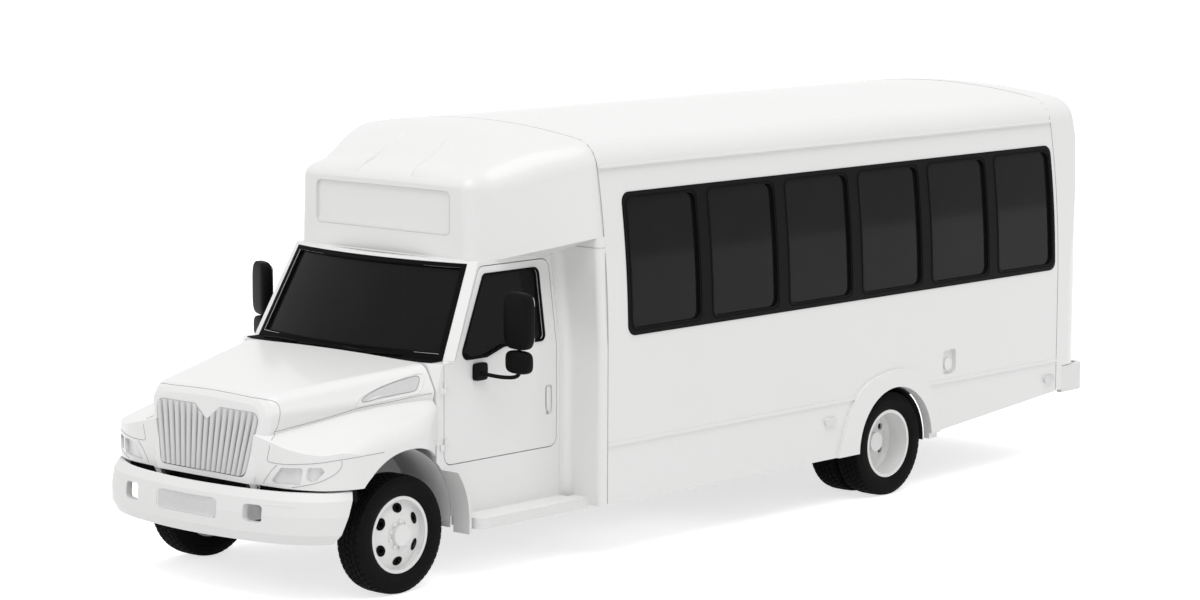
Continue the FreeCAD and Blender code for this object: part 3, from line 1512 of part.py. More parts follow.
def chassis_frame():
    """Two channel rails with crossmembers."""
    y0 = at(rail_front_back)
    y1 = at(rail_rear_back)
    low = rail_top_z - rail_height
    outer = rail_outer_half
    rail = box(outer - rail_flange, outer, y0, y1, low, rail_top_z)
    hollow = box(outer - rail_flange, outer - rail_sheet, y0, y1, low + rail_sheet, rail_top_z - rail_sheet)
    rail = rail.cut(hollow)
    parts = [rail, mirrored(rail)]
    for back in crossmember_backs:
        parts.append(box(-outer + rail_sheet, outer - rail_sheet, at(back) - crossmember_width / 2,
                         at(back) + crossmember_width / 2, rail_top_z - crossmember_height, rail_top_z))
    ear = hood_ear_bracket()
    return fused(parts + [ear, mirrored(ear)])


def hood_ear_bracket():
    """An arm from the left rail's front end to the hood's pivot, with its pin."""
    outer = hood_lug_half - panel_gap
    inner = outer - hood_ear
    pivot = hood_pivot(inner)
    axis = Vector(1, 0, 0)
    round_end = cylinder(pivot, axis, hood_lug_radius, hood_ear)
    rear = at(rail_front_back) + hood_ear
    outline = [(pivot.y, hood_pivot_z - hood_lug_radius), (pivot.y + hood_lug_radius, hood_pivot_z)]
    outline += [(rear, rail_top_z), (rear, rail_top_z - hood_ear)]
    pin = cylinder(pivot, axis, hood_pin_radius, hood_ear + panel_gap + hood_lug_length)
    return fused([round_end, prism_x(outline, 0, inner, outer), pin])


def front_axle():
    """A dropped beam with an upright boss at each end for the kingpin."""
    boss_low = tyre_radius - beam_boss_height / 2
    parts = []
    for side in (1, -1):
        foot = Vector(kingpin_half * side, front_axle_y, boss_low)
        parts.append(cylinder(foot, Vector(0, 0, 1), beam_boss_radius, beam_boss_height))
    top = boss_low + beam_boss_height
    step = spring_half + spring_width
    neck = kingpin_half - beam_boss_radius - panel_gap
    seat_z = tyre_radius + beam_height / 2 - beam_drop
    outline = [(kingpin_half, boss_low), (kingpin_half, top), (step + beam_drop, top), (step, seat_z)]
    outline += [(-x, z) for x, z in reversed(outline)]
    outline += [(-neck, boss_low), (-step, seat_z - beam_height), (step, seat_z - beam_height), (neck, boss_low)]
    beam = prism_y(outline, 0, front_axle_y - beam_width / 2, front_axle_y + beam_width / 2)
    whole = fused([beam] + parts)
    for side in (1, -1):
        foot = Vector(kingpin_half * side, front_axle_y, boss_low - cut_overrun)
        whole = whole.cut(cylinder(foot, Vector(0, 0, 1), kingpin_radius + running_clearance,
                                   beam_boss_height + cut_overrun * 2))
    return whole


def rear_axle():
    """Axle tube with its round diff housing and a spindle at each end, turned in one piece."""
    reach = rear_spindle_end()
    tube_half = rear_inner_half - tyre_width / 2 - rear_drum_width / 2
    outline = [(reach, 0), (reach, spindle_radius), (tube_half, spindle_radius), (tube_half, axle_tube_radius)]
    outline += [(diff_half, axle_tube_radius), (diff_half - diff_slope, diff_radius)]
    outline += [(-x, r) for x, r in reversed(outline)]
    rounds = [0, 0, 0, 0, 0, diff_round, diff_round, 0, 0, 0, 0, 0]
    wire = rounded_wire([Vector(x, 0, r) for x, r in outline], rounds)
    body = Part.Face(wire).revolve(Vector(0, 0, 0), Vector(1, 0, 0), 360)
    body.translate(Vector(0, rear_axle_y, tyre_radius))
    return body


def rear_spindle_end():
    """Where the rear spindle stops, half way into the hub's cap."""
    return (rear_outer_half + rear_inner_half) / 2 + rear_disc_inset + rear_hub_out / 2


def leaf_spring(y, z_seat, half):
    """One bowed leaf pack with an eye at each end."""
    reach = spring_length / 2
    start = Vector(half, y - reach, z_seat + spring_sag)
    end = Vector(half, y + reach, z_seat + spring_sag)
    upper = Part.Arc(start, Vector(half, y, z_seat), end).toShape()
    drop = Vector(0, 0, -spring_sheet)
    lower = Part.Arc(start + drop, Vector(half, y, z_seat - spring_sheet), end + drop).toShape()
    ends = [Part.LineSegment(start, start + drop).toShape(), Part.LineSegment(end, end + drop).toShape()]
    face = Part.Face(Part.Wire(Part.__sortEdges__([upper, lower] + ends)))
    pack = face.extrude(Vector(spring_width, 0, 0))
    eyes = []
    for place in (start, end):
        centre = place + drop * 0.5
        eyes.append(cylinder(centre, Vector(1, 0, 0), spring_eye_radius, spring_width))
        eyes.append(box(half, half + spring_width, place.y - hanger_length / 2, place.y + hanger_length / 2,
                        centre.z, hanger_top_z))
    return fused([pack] + eyes)


def leaf_springs():
    """Four leaf packs, outboard of the rails, on the axles' seats."""
    front_seat = tyre_radius + beam_height / 2 - beam_drop + spring_sheet
    rear_seat = tyre_radius + axle_tube_radius + spring_sheet
    front = leaf_spring(front_axle_y, front_seat, spring_half)
    rear = leaf_spring(rear_axle_y, rear_seat, spring_half)
    return Part.makeCompound([front, mirrored(front), rear, mirrored(rear)])


def engine_and_gearbox():
    """Engine block, gearbox and propeller shaft as one plain heavy piece."""
    block = box(-engine_half, engine_half, at(engine_front_back), at(engine_rear_back), engine_low_z, engine_high_z)
    gearbox = box(-gearbox_half, gearbox_half, at(engine_rear_back), at(gearbox_rear_back), gearbox_low_z,
                  gearbox_high_z)
    start = Vector(0, at(gearbox_rear_back), gearbox_low_z + shaft_radius)
    end = Vector(0, rear_axle_y - diff_radius - pin_play, tyre_radius)
    run = end - start
    shaft = cylinder(start, run, shaft_radius, run.Length)
    feet = []
    for back in engine_foot_backs:
        foot = box(engine_half, engine_half + engine_foot_reach, at(back), at(back) + engine_foot_length, rail_top_z,
                   rail_top_z + engine_foot_height)
        feet += [foot, mirrored(foot)]
    return fused([block, gearbox, shaft] + feet)


def fuel_tank():
    """A rounded tank outboard of the left rail, behind the cab."""
    tank = prism_y(rectangle(tank_in, tank_out, tank_low_z, tank_high_z), tank_round, at(tank_front_back),
                   at(tank_rear_back))
    return tank


def tyre(x):
    """A tyre as a ring of rounded section, round the X axis at the given centre."""
    half = tyre_width / 2
    flange = rim_width / 2
    seat = flange - rim_sheet
    outline = [(x - seat, rim_seat_radius), (x - seat, rim_flange_radius), (x - flange, rim_flange_radius)]
    outline += [(x - half, rim_flange_radius + tyre_bulge * 3)]
    outline += [(x - half, tyre_radius - tyre_shoulder), (x - half + tyre_shoulder, tyre_radius)]
    outline += [(x + half - tyre_shoulder, tyre_radius), (x + half, tyre_radius - tyre_shoulder)]
    outline += [(x + half, rim_flange_radius + tyre_bulge * 3), (x + flange, rim_flange_radius)]
    outline += [(x + seat, rim_flange_radius), (x + seat, rim_seat_radius)]
    wire = rounded_wire([Vector(a, 0, r) for a, r in outline], 0)
    return Part.Face(wire).revolve(Vector(0, 0, 0), Vector(1, 0, 0), 360)


def rim(x, disc):
    """A rim barrel with its disc, revolved round the X axis; disc lists (offset, radius) of its face."""
    half = rim_width / 2
    barrel = [(x - half, rim_flange_radius), (x - half, rim_seat_radius - rim_sheet)]
    barrel += [(x + half, rim_seat_radius - rim_sheet), (x + half, rim_flange_radius)]
    barrel += [(x + half - rim_sheet, rim_flange_radius), (x + half - rim_sheet, rim_seat_radius)]
    barrel += [(x - half + rim_sheet, rim_seat_radius), (x - half + rim_sheet, rim_flange_radius)]
    shapes = [barrel, [(x + a, r) for a, r in disc] + [(x + a - rim_sheet, r) for a, r in reversed(disc)]]
    solids = []
    for outline in shapes:
        wire = rounded_wire([Vector(a, 0, r) for a, r in outline], 0)
        solids.append(Part.Face(wire).revolve(Vector(0, 0, 0), Vector(1, 0, 0), 360))
    return fused(solids)


def hand_holes(x0, x1):
    holes = []
    for index in range(hand_hole_count):
        angle = 2 * math.pi * index / hand_hole_count + math.pi / 2
        centre = Vector(x0, hand_hole_circle * math.cos(angle), hand_hole_circle * math.sin(angle))
        holes.append(cylinder(centre, Vector(1, 0, 0), hand_hole_radius, x1 - x0))
    return Part.makeCompound(holes)


def wheel_nuts(x):
    nuts = []
    for index in range(nut_count):
        angle = 2 * math.pi * (index + 0.5) / nut_count
        centre = Vector(x, nut_circle * math.cos(angle), nut_circle * math.sin(angle))
        nuts.append(cylinder(centre, Vector(1, 0, 0), nut_radius, nut_length))
    return nuts


def front_rim():
    """The left front wheel without its tyre: convex disc, hub and nuts."""
    x = front_track_half
    face = front_disc_bulge
    inner_r = rim_seat_radius - rim_sheet
    disc = [(face - hub_length / 3, inner_r), (face - rim_sheet, hand_hole_circle - hand_hole_radius - rim_sheet)]
    disc += [(face, hub_radius), (face, hub_bore_radius)]
    body = rim(x, disc)
    body = body.cut(hand_holes(x, x + face + cut_overrun))
    hub = cylinder(Vector(x + face - rim_sheet - hub_length, 0, 0), Vector(1, 0, 0), hub_cap_radius, hub_length)
    cap = cylinder(Vector(x + face - rim_sheet, 0, 0), Vector(1, 0, 0), hub_cap_radius, rim_sheet + nut_length * 2)
    body = fused([body, hub, cap] + wheel_nuts(x + face - rim_sheet / 2))
    bore = cylinder(Vector(x + face - rim_sheet - hub_length - cut_overrun, 0, 0), Vector(1, 0, 0), hub_bore_radius,
                    hub_length + cut_overrun)
    body = body.cut(bore)
    body.translate(Vector(0, front_axle_y, tyre_radius))
    return body


def rear_rims():
    """The left rear pair of rims, their discs back to back on one hub."""
    plane = (rear_outer_half + rear_inner_half) / 2
    inner_r = rim_seat_radius - rim_sheet
    outer_face = plane - rear_outer_half + rear_disc_inset
    outer_disc = [(outer_face + rear_disc_inset, inner_r), (outer_face, hand_hole_circle + hand_hole_radius + rim_sheet)]
    outer_disc += [(outer_face, hub_bore_radius + rim_sheet)]
    inner_face = plane - rear_inner_half + rear_disc_inset - rim_sheet
    inner_disc = [(inner_face - rear_disc_inset * 2, inner_r), (inner_face, hand_hole_circle + hand_hole_radius + rim_sheet)]
    inner_disc += [(inner_face, hub_bore_radius + rim_sheet)]
    outer = rim(rear_outer_half, outer_disc)
    inner = rim(rear_inner_half, inner_disc)
    holes = hand_holes(plane - cut_overrun, plane + cut_overrun)
    face = plane + rear_disc_inset
    hub_start = rear_inner_half - rim_width / 2
    hub = cylinder(Vector(hub_start, 0, 0), Vector(1, 0, 0), hub_cap_radius, face - hub_start)
    cap = cylinder(Vector(face - rim_sheet, 0, 0), Vector(1, 0, 0), hub_cap_radius, rear_hub_out)
    body = fused([outer.cut(holes), inner.cut(holes), hub, cap] + wheel_nuts(face - rim_sheet / 2))
    bore = cylinder(Vector(hub_start - cut_overrun, 0, 0), Vector(1, 0, 0), hub_bore_radius,
                    rear_spindle_end() + pin_play - hub_start + cut_overrun)
    body = body.cut(bore)
    body.translate(Vector(0, rear_axle_y, tyre_radius))
    return body


def front_tyre():
    ring = tyre(front_track_half)
    ring.translate(Vector(0, front_axle_y, tyre_radius))
    return ring


def rear_tyres():
    pair = Part.makeCompound([tyre(rear_outer_half), tyre(rear_inner_half)])
    pair.translate(Vector(0, rear_axle_y, tyre_radius))
    return pair


def knuckle():
    """The left knuckle: a yoke on the kingpin, a plate and the wheel's spindle."""
    boss_low = tyre_radius - beam_boss_height / 2
    boss_high = tyre_radius + beam_boss_height / 2
    up = Vector(0, 0, 1)
    parts = []
    for z in (boss_low - pin_play - knuckle_lug_height, boss_high + pin_play):
        lug = cylinder(Vector(kingpin_half, front_axle_y, z), up, beam_boss_radius, knuckle_lug_height)
        link = box(kingpin_half, kingpin_half + beam_boss_radius + knuckle_plate / 2, front_axle_y - beam_boss_radius,
                   front_axle_y + beam_boss_radius, z, z + knuckle_lug_height)
        parts += [lug, link]
    pin_low = boss_low - pin_play - knuckle_lug_height
    pin_high = boss_high + pin_play + knuckle_lug_height
    parts.append(cylinder(Vector(kingpin_half, front_axle_y, pin_low), up, kingpin_radius, pin_high - pin_low))
    plate_x = kingpin_half + beam_boss_radius + pin_play * 2
    axis = Vector(1, 0, 0)
    centre = Vector(plate_x, front_axle_y, tyre_radius)
    parts.append(cylinder(centre, axis, knuckle_plate_radius, knuckle_plate))
    end = front_track_half + front_disc_bulge - rim_sheet - pin_play
    parts.append(cylinder(centre, axis, spindle_radius, end - plate_x))
    return fused(parts)


def seat(x0, x1, y, floor_z, height):
    """One seat as a plain closed form: pedestal, cushion and leaning back in one outline."""
    front = y - seat_cushion_depth
    top = floor_z + height
    under = top - seat_cushion_thickness
    lean = seat_back_thickness
    outline = [(front, under), (front, top), (y, top), (y + lean, top + seat_back_height)]
    outline += [(y + lean * 2, top + seat_back_height), (y + lean, under)]
    rounds = [seat_round, seat_round, 0, seat_round, seat_round, seat_round]
    body = prism_x(outline, rounds, x0, x1)
    middle = (x0 + x1) / 2
    leg_half = min(seat_leg_width, (x1 - x0) / 2) / 2
    leg = box(middle - leg_half, middle + leg_half, front + seat_round * 2, y, floor_z, under)
    return fused([body, leg])


def seat_row(start_back, rows, side):
    """Double seats one behind the other along a side wall."""
    outer = body_half_width - wall_thickness - seat_wall_gap
    seats = []
    for index in range(rows):
        y = at(start_back) + seat_pitch * index
        body = seat(outer - seat_width, outer, y, floor_top_z, seat_height)
        seats.append(body if side > 0 else mirrored(body))
    return Part.makeCompound(seats)


def driver_seat():
    half = driver_seat_width / 2
    return seat(driver_seat_centre - half, driver_seat_centre + half, at(driver_seat_back), cab_floor_z,
                driver_seat_height)


def dash():
    """The dash across the cab, carried by the cab's sides."""
    half = cab_half_width - cab_thickness - panel_gap * 2
    top = cab_belt_z - cab_thickness - seat_gap
    outline = [(at(cab_front_back) + cab_thickness, dash_low_z), (at(dash_rear_back), dash_low_z)]
    outline += [(at(dash_rear_back), top), (at(cab_front_back) + cab_thickness, top)]
    bevel = cowl_bevel(cab_thickness + seat_gap)
    return prism_x(outline, [0, dash_round, dash_round, 0], -half, half).cut(bevel).cut(mirrored(bevel))


def steering_wheel():
    """Ring, spokes, hub and column, leaning towards the driver."""
    centre = Vector(driver_seat_centre, at(wheel_centre_back), wheel_centre_z)
    lean = math.radians(wheel_lean)
    axis = Vector(0, math.cos(lean), math.sin(lean))
    ring = Part.makeTorus(wheel_ring_radius, wheel_ring_tube, centre, axis)
    hub = cylinder(centre - axis * (wheel_hub_length / 2), axis, wheel_hub_radius, wheel_hub_length)
    across = cylinder(centre - Vector(wheel_ring_radius, 0, 0), Vector(1, 0, 0), wheel_ring_tube * 0.8,
                      wheel_ring_radius * 2)
    down = Vector(0, math.sin(lean), -math.cos(lean))
    spoke = cylinder(centre, down, wheel_ring_tube * 0.8, wheel_ring_radius)
    dash_face = at(dash_rear_back)
    length = (centre.y - dash_face) / math.cos(lean) + column_radius
    column = cylinder(centre - axis * length, axis, column_radius, length)
    body = fused([ring, hub, across, spoke, column])
    return body.cut(box(-cab_half_width, cab_half_width, at(cab_front_back), dash_face, dash_low_z, cab_belt_z))


def wipers():
    """Two wiper blades lying on the cowl at the foot of the windshield."""
    blades = []
    y = at(cab_front_back) + wiper_gap
    for start in wiper_starts:
        blades.append(box(start, start + wiper_length, y, y + wiper_blade, cab_belt_z, cab_belt_z + wiper_blade))
    return Part.makeCompound(blades)


def lamps():
    """Side marker lamps on the skirts and round tail lamps on the rear cap."""
    parts = []
    for back in marker_backs:
        x = body_half_width
        y0 = at(back) - marker_length / 2
        z0 = marker_z - marker_height / 2
        outline = rectangle(y0, y0 + marker_length, z0, z0 + marker_height)
        lamp = prism_x(outline, marker_height / 2.2, x, x + marker_out)
        parts += [lamp, mirrored(lamp)]
    skin = rear_cap_form(-tail_lamp_out).cut(rear_cap_form(0))
    for z in tail_lamp_zs:
        start = Vector(tail_lamp_half, at(rear_seam_back) + rear_cap_corner, z)
        lens = cylinder(start, Vector(0, 1, 0), tail_lamp_radius, rear_end_y - start.y).common(skin)
        parts += [lens, mirrored(lens)]
    return Part.makeCompound(parts)


NODES = {
    "chassis_frame": chassis_frame,
    "front_axle": front_axle,
    "rear_axle": rear_axle,
    "leaf_springs": leaf_springs,
    "engine_and_gearbox": engine_and_gearbox,
    "fuel_tank": fuel_tank,
    "front_bumper": front_bumper,
    "rear_bumper": rear_bumper,
    "cab_shell": cab_shell,
    "windshield": windshield,
    "dash": dash,
    "steering_wheel": steering_wheel,
    "driver_seat": driver_seat,
    "running_boards": running_boards,
    "splash_guards": splash_guards,
    "floor": saloon_floor,
    "entry_steps": entry_steps,
    "left_wall": left_wall,
    "right_wall": right_wall,
    "roof": roof,
    "front_cap": front_cap,
    "corner_panels": corner_panels,
    "rear_cap": rear_cap,
    "left_window_frames": lambda: window_frames(range(window_count)),
    "right_window_frames": lambda: mirrored(window_frames(range(1, window_count))),
    "left_windows": lambda: window_panes(range(window_count)),
    "right_windows": lambda: mirrored(window_panes(range(1, window_count))),
    "left_seats": lambda: seat_row(left_seat_start_back, left_seat_rows, 1),
    "right_seats": lambda: seat_row(right_seat_start_back, right_seat_rows, -1),
    "wipers": wipers,
    "lamps": lamps,
    "hood": hood,
    "grille": grille,
    "headlamps": headlamps,
    "left_door": left_door,
    "left_door_glass": left_door_glass,
    "left_mirror": left_mirror,
    "right_door": lambda: mirrored(left_door()),
    "right_door_glass": lambda: mirrored(left_door_glass()),
    "right_mirror": lambda: mirrored(left_mirror()),
    "entry_leaf_front": lambda: entry_leaf(True),
    "entry_leaf_rear": lambda: entry_leaf(False),
    "entry_glass_front": lambda: entry_leaf_glass(True),
    "entry_glass_rear": lambda: entry_leaf_glass(False),
    "rear_door": rear_door,
    "rear_door_glass": rear_door_glass,
    "left_knuckle": knuckle,
    "right_knuckle": lambda: mirrored(knuckle()),
    "left_front_rim": front_rim,
    "left_front_tyre": front_tyre,
    "right_front_rim": lambda: mirrored(front_rim()),
    "right_front_tyre": lambda: mirrored(front_tyre()),
    "left_rear_rims": rear_rims,
    "left_rear_tyres": rear_tyres,
    "right_rear_rims": lambda: mirrored(rear_rims()),
    "right_rear_tyres": lambda: mirrored(rear_tyres()),
}

os.makedirs("parts", exist_ok=True)
for name, make in NODES.items():
    shape = make()
    box_size = shape.BoundBox
    print(name, shape.isValid(), len(shape.Solids), shape.Volume, box_size)
    shape.exportStep("parts/" + name + ".step")
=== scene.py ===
# %% [markdown]
# # A full-size white minibus
# The solids come from the imported model, in metres: +Z is up, -Y is the way the bus drives and +X is its
# left, the driver's side. This script adds the camera, the light, the finishes and the fine pieces that
# a solid model leaves out, such as tyre tread and rubber seals.

# %% Load the fixed frame
import json
import math

import bmesh
import bpy
from mathutils import Matrix, Vector
from mathutils.bvhtree import BVHTree


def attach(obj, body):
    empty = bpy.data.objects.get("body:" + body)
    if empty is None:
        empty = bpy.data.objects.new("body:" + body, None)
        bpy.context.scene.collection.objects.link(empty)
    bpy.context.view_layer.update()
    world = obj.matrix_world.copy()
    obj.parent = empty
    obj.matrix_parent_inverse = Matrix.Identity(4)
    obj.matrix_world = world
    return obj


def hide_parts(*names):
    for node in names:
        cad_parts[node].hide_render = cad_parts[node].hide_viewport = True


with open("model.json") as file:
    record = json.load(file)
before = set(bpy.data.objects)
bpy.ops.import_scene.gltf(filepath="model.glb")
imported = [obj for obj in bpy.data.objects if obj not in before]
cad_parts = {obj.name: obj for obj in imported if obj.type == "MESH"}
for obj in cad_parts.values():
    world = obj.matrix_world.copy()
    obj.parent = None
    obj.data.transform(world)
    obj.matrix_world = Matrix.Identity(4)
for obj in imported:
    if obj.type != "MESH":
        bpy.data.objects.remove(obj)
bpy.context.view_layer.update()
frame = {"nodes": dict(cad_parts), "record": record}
nodes = frame["nodes"]

# %% Places that many steps share
front_axle_y, rear_axle_y = -3.310, 1.700
sides = (("left", 1), ("right", -1))
to_rear, to_front, up, down = (Vector(way) for way in ((0, 1, 0), (0, -1, 0), (0, 0, 1), (0, 0, -1)))


def at(back):
    """Y of a place given by its distance behind the front axle."""
    return front_axle_y + back


def spot(x, back, z):
    """A point given by its distance to the left, behind the front axle and above the ground."""
    return Vector((x, at(back), z))


def placed(points):
    """The same for measured places, whose three numbers are in millimetres."""
    return [spot(*(value / 1000 for value in point)) for point in points]


def flipped(points):
    """The same path on the other side of the bus."""
    return [Vector((-p[0], p[1], p[2])) for p in points]


def both(path):
    """A path and its mirror image."""
    return [path, flipped(path)]


def added(name, data):
    """A new object of the scene."""
    made = bpy.data.objects.new(name, data)
    bpy.context.scene.collection.objects.link(made)
    return made


print("front axle", front_axle_y, "rear axle", rear_axle_y)

# %% [markdown]
# ## Camera
# The place and turn were worked out from lines that are known to be level or upright on a bus body:
# the window band, the roof edge and the wheel centres. A long lens from 25 metres keeps them nearly parallel.

# %% Camera at the photo's place
camera_place = Vector((17.1197, -19.5103, 4.9905))
azimuth, rise, roll = (math.radians(angle) for angle in (41.5583, 7.5603, 0.2587))
backward = Vector((math.sin(azimuth) * math.cos(rise), -math.cos(azimuth) * math.cos(rise), math.sin(rise)))
level = Vector((math.cos(azimuth), math.sin(azimuth), 0))
upward = backward.cross(level)
side_axis = level * math.cos(roll) + upward * math.sin(roll)
top_axis = upward * math.cos(roll) - level * math.sin(roll)
camera = added("camera", bpy.data.cameras.new("camera"))
camera.data.sensor_width = 36
camera.data.lens = 105.913
camera.data.clip_end = 200
camera.matrix_world = (Matrix.Translation(camera_place)
                       @ Matrix((side_axis, top_axis, backward)).transposed().to_4x4())
bpy.context.scene.camera = camera
bpy.context.scene.view_settings.view_transform = "Standard"
print("camera", camera_place)

# %% [markdown]
# ## Node helpers
# Node maths reads like ordinary arithmetic when a small class wraps a socket and turns each operator
# into a Math node. Every other node comes from one method that takes its type, inputs and settings.


# %% Node maths
class Value:
    """A socket whose arithmetic adds Math nodes."""

    def __init__(self, tree, socket):
        self.tree = tree
        self.socket = socket

    def _join(self, operation, other):
        return self.tree.node("ShaderNodeMath", {0: self, 1: other}, operation=operation)

    def __add__(self, other):
        return self._join("ADD", other)

    def __sub__(self, other):
        return self._join("SUBTRACT", other)

    def __mul__(self, other):
        return self._join("MULTIPLY", other)

    def __truediv__(self, other):
        return self._join("DIVIDE", other)


class Tree:
    """Any node tree: node() makes any node, and feed() gives a socket a link or a plain value."""

    def __init__(self, tree):
        self.tree = tree

    def node(self, kind, inputs=None, output=0, **settings):
        made = self.tree.nodes.new(kind)
        for key, value in settings.items():
            setattr(made, key, value)
        for key, value in (inputs or {}).items():
            self.feed(made.inputs[key], value)
        return Value(self, made.outputs[output])

    def feed(self, socket, value):
        if isinstance(value, Value):
            self.tree.links.new(value.socket, socket)
        else:
            socket.default_value = value

    def seen(self):
        """At least 1 for a ray from the camera, from a gloss or through glass, and 0 for any other ray."""
        camera_ray, glossy, through = (self.node("ShaderNodeLightPath", output="Is %s Ray" % kind)
                                       for kind in ("Camera", "Glossy", "Transmission"))
        return camera_ray + glossy + through


class Finish(Tree):
    """One material, whose Principled BSDF is its shader."""

    def __init__(self, name):
        self.material = bpy.data.materials.new(name)
        self.material.use_nodes = True
        super().__init__(self.material.node_tree)
        self.shader = self.tree.nodes["Principled BSDF"]

    def place(self):
        return self.node("ShaderNodeTexCoord", output="Object")

    def noise(self, scale, detail):
        return self.node("ShaderNodeTexNoise", {"Vector": self.place(), "Scale": scale, "Detail": detail}, "Fac")

    def ramp(self, value, *stops):
        made = self.node("ShaderNodeValToRGB", {"Fac": value})
        elements = made.socket.node.color_ramp.elements
        for _ in stops[2:]:
            elements.new(0.5)
        for element, (share, colour) in zip(elements, stops):
            element.position = share
            element.color = colour
        return made

    def bump(self, height, strength, distance):
        bumped = self.node("ShaderNodeBump", {"Height": height, "Strength": strength, "Distance": distance})
        self.feed(self.shader.inputs["Normal"], bumped)

    def set(self, colour, roughness, level, **others):
        inputs = {"Base Color": colour, "Roughness": roughness, "Specular IOR Level": level}
        for key, value in {**inputs, **others}.items():
            self.feed(self.shader.inputs[key.replace("_", " ")], value)


def grey(tone):
    return (tone, tone, tone, 1)


print("node helpers ready")

# %% [markdown]
# ## Painted body
# The whole bus is one plain white. Fresh body paint is never perfectly even: the panels have a faint
# orange-peel ripple, the gloss drifts a little, and the white shifts by a hair from panel to panel.


def white_finish(name, tone, ripple_size, ripple, gloss, coat):
    finish = Finish(name)
    drift = finish.noise(0.9, 2.0)
    speck = finish.noise(14.0, 4.0)
    colour = finish.ramp(drift * 0.8 + speck * 0.2, (0.30, (tone * 0.985, tone * 0.985, tone * 0.975, 1)),
                         (0.70, (tone, tone, tone * 0.995, 1)))
    finish.set(colour, drift * 0.10 + (gloss - 0.05), 0.4, Coat_Weight=coat, Coat_Roughness=0.12)
    finish.bump(finish.noise(ripple_size, 2.0), ripple, 0.0006)
    return finish.material


body_paint = white_finish("satin white paint", 0.80, 180.0, 0.10, 0.38, 0.25)
bumper_plastic = white_finish("moulded white plastic", 0.78, 420.0, 0.20, 0.48, 0.0)
print("whites", body_paint.name, bumper_plastic.name)

# %% [markdown]
# ## Rubber, glass and metal
# Black trim is matt moulded rubber and plastic. The windows are tinted so dark that only a trace of the
# inside shows. Tyre rubber is a dull charcoal with fine moulding marks.


# %% Dark finishes
def speckled(name, low, high, size, rough, ripple, metallic=0.0, level=0.5):
    """A finish between two greys."""
    finish = Finish(name)
    grain = finish.noise(size, 5.0)
    colour = finish.ramp(grain, (0.35, grey(low)), (0.65, grey(high)))
    finish.set(colour, grain * 0.16 + (rough - 0.08), level, Metallic=metallic)
    finish.bump(grain, ripple, 0.0004)
    return finish.material


def glass_finish(name, tone, rough, alpha, level):
    finish = Finish(name)
    smear = finish.noise(2.5, 3.0)
    colour = finish.ramp(smear, (0.3, grey(tone)), (0.7, grey(tone * 1.4)))
    finish.set(colour, smear * 0.04 + rough, level, Alpha=alpha)
    return finish.material


def grille_shade_finish():
    """Painted shade: grey bars and gaps darkened towards the bottom, where no light gets in."""
    front_y, foot_z, lean, steepness = -4.140, 0.815, 0.098, 18.0
    finish = Finish("grille white")
    y, z = (finish.node("ShaderNodeSeparateXYZ", {"Vector": finish.place()}, axis) for axis in "YZ")
    depth = (y - (z - foot_z) * lean - front_y) * steepness
    grain = finish.noise(60.0, 3.0)
    # The ramp paints shade: grey on the front of the bars, darker down each gap.
    colour = finish.ramp(depth + (grain - 0.5) * 0.06, (0.05, grey(0.66)), (0.40, grey(0.52)), (0.75, grey(0.20)),
                         (1.0, grey(0.10)))
    finish.set(colour, 0.5, 0.3)
    finish.bump(grain, 0.1, 0.0005)
    return finish.material


black_trim = speckled("black moulded trim", 0.004, 0.008, 260.0, 0.5, 0.25, level=0.05)
black_rubber = speckled("black seal rubber", 0.003, 0.006, 340.0, 0.62, 0.2, level=0.04)
tyre_rubber = speckled("tyre rubber", 0.006, 0.011, 150.0, 0.72, 0.3, level=0.04)
chassis_paint = speckled("chassis paint", 0.012, 0.03, 60.0, 0.55, 0.3)
bare_steel = speckled("machined steel", 0.32, 0.45, 90.0, 0.35, 0.1, metallic=1.0)
cast_iron = speckled("cast iron", 0.05, 0.09, 120.0, 0.65, 0.6, metallic=0.6)
tank_sheet = speckled("tank sheet", 0.42, 0.5, 40.0, 0.4, 0.1, metallic=0.9)
floor_cover = speckled("ribbed floor rubber", 0.05, 0.08, 200.0, 0.7, 0.5)
dark_glass = glass_finish("dark tinted glass", 0.006, 0.06, 0.955, 0.09)
lamp_glass = glass_finish("clear grey lens", 0.60, 0.12, 1.0, 0.4)
grille_painted_shade = grille_shade_finish()
print("dark finishes ready")

# %% [markdown]
# ## Greys of shaded places
# On a white bus, joints, scoops and wheel arches show as soft greys. These finishes give the fine pieces
# that lie in such places the tone of the shade they stand in.

# %% Shaded greys and mirror glass
joint_grey = speckled("shaded panel joint", 0.34, 0.42, 30.0, 0.8, 0.1, level=0.1)
soft_joint = speckled("soft panel edge", 0.60, 0.64, 30.0, 0.7, 0.1, level=0.1)
scoop_shade = speckled("shaded scoop", 0.60, 0.63, 40.0, 0.7, 0.1, level=0.1)
plate_shade = speckled("shaded plate ground", 0.64, 0.67, 60.0, 0.6, 0.1, level=0.2)
# Painted shade: the grey of white inside a wheel arch's shadow.
liner_shade_grey = speckled("grey liner", 0.52, 0.60, 120.0, 0.8, 0.4, level=0.1)
mirror_glass = speckled("mirror glass", 0.55, 0.58, 3.0, 0.06, 0.0, metallic=1.0)
print("shaded greys ready")

# %% [markdown]
# ## Seat cloth
# Coach seats wear a hard woven cloth. Two wave patterns at right angles make the threads, and a soft noise
# fades the colour a little, as years of light do.


# %% Woven cloth
def cloth_finish(name, low, high):
    finish = Finish(name)
    across, along = (finish.node("ShaderNodeTexWave", {"Vector": finish.place(), "Scale": 160.0}, "Fac",
                                 bands_direction=axis) for axis in "XZ")
    weave = across * 0.5 + along * 0.5
    fade = finish.noise(3.0, 3.0)
    finish.set(finish.ramp(weave * 0.6 + fade * 0.4, (0.25, low), (0.75, high)), 0.9, 0.2, Sheen_Weight=0.3)
    finish.bump(weave, 0.4, 0.0006)
    return finish.material


seat_cloth = cloth_finish("woven seat cloth", (0.045, 0.048, 0.055, 1), (0.09, 0.095, 0.105, 1))
print("cloth ready")

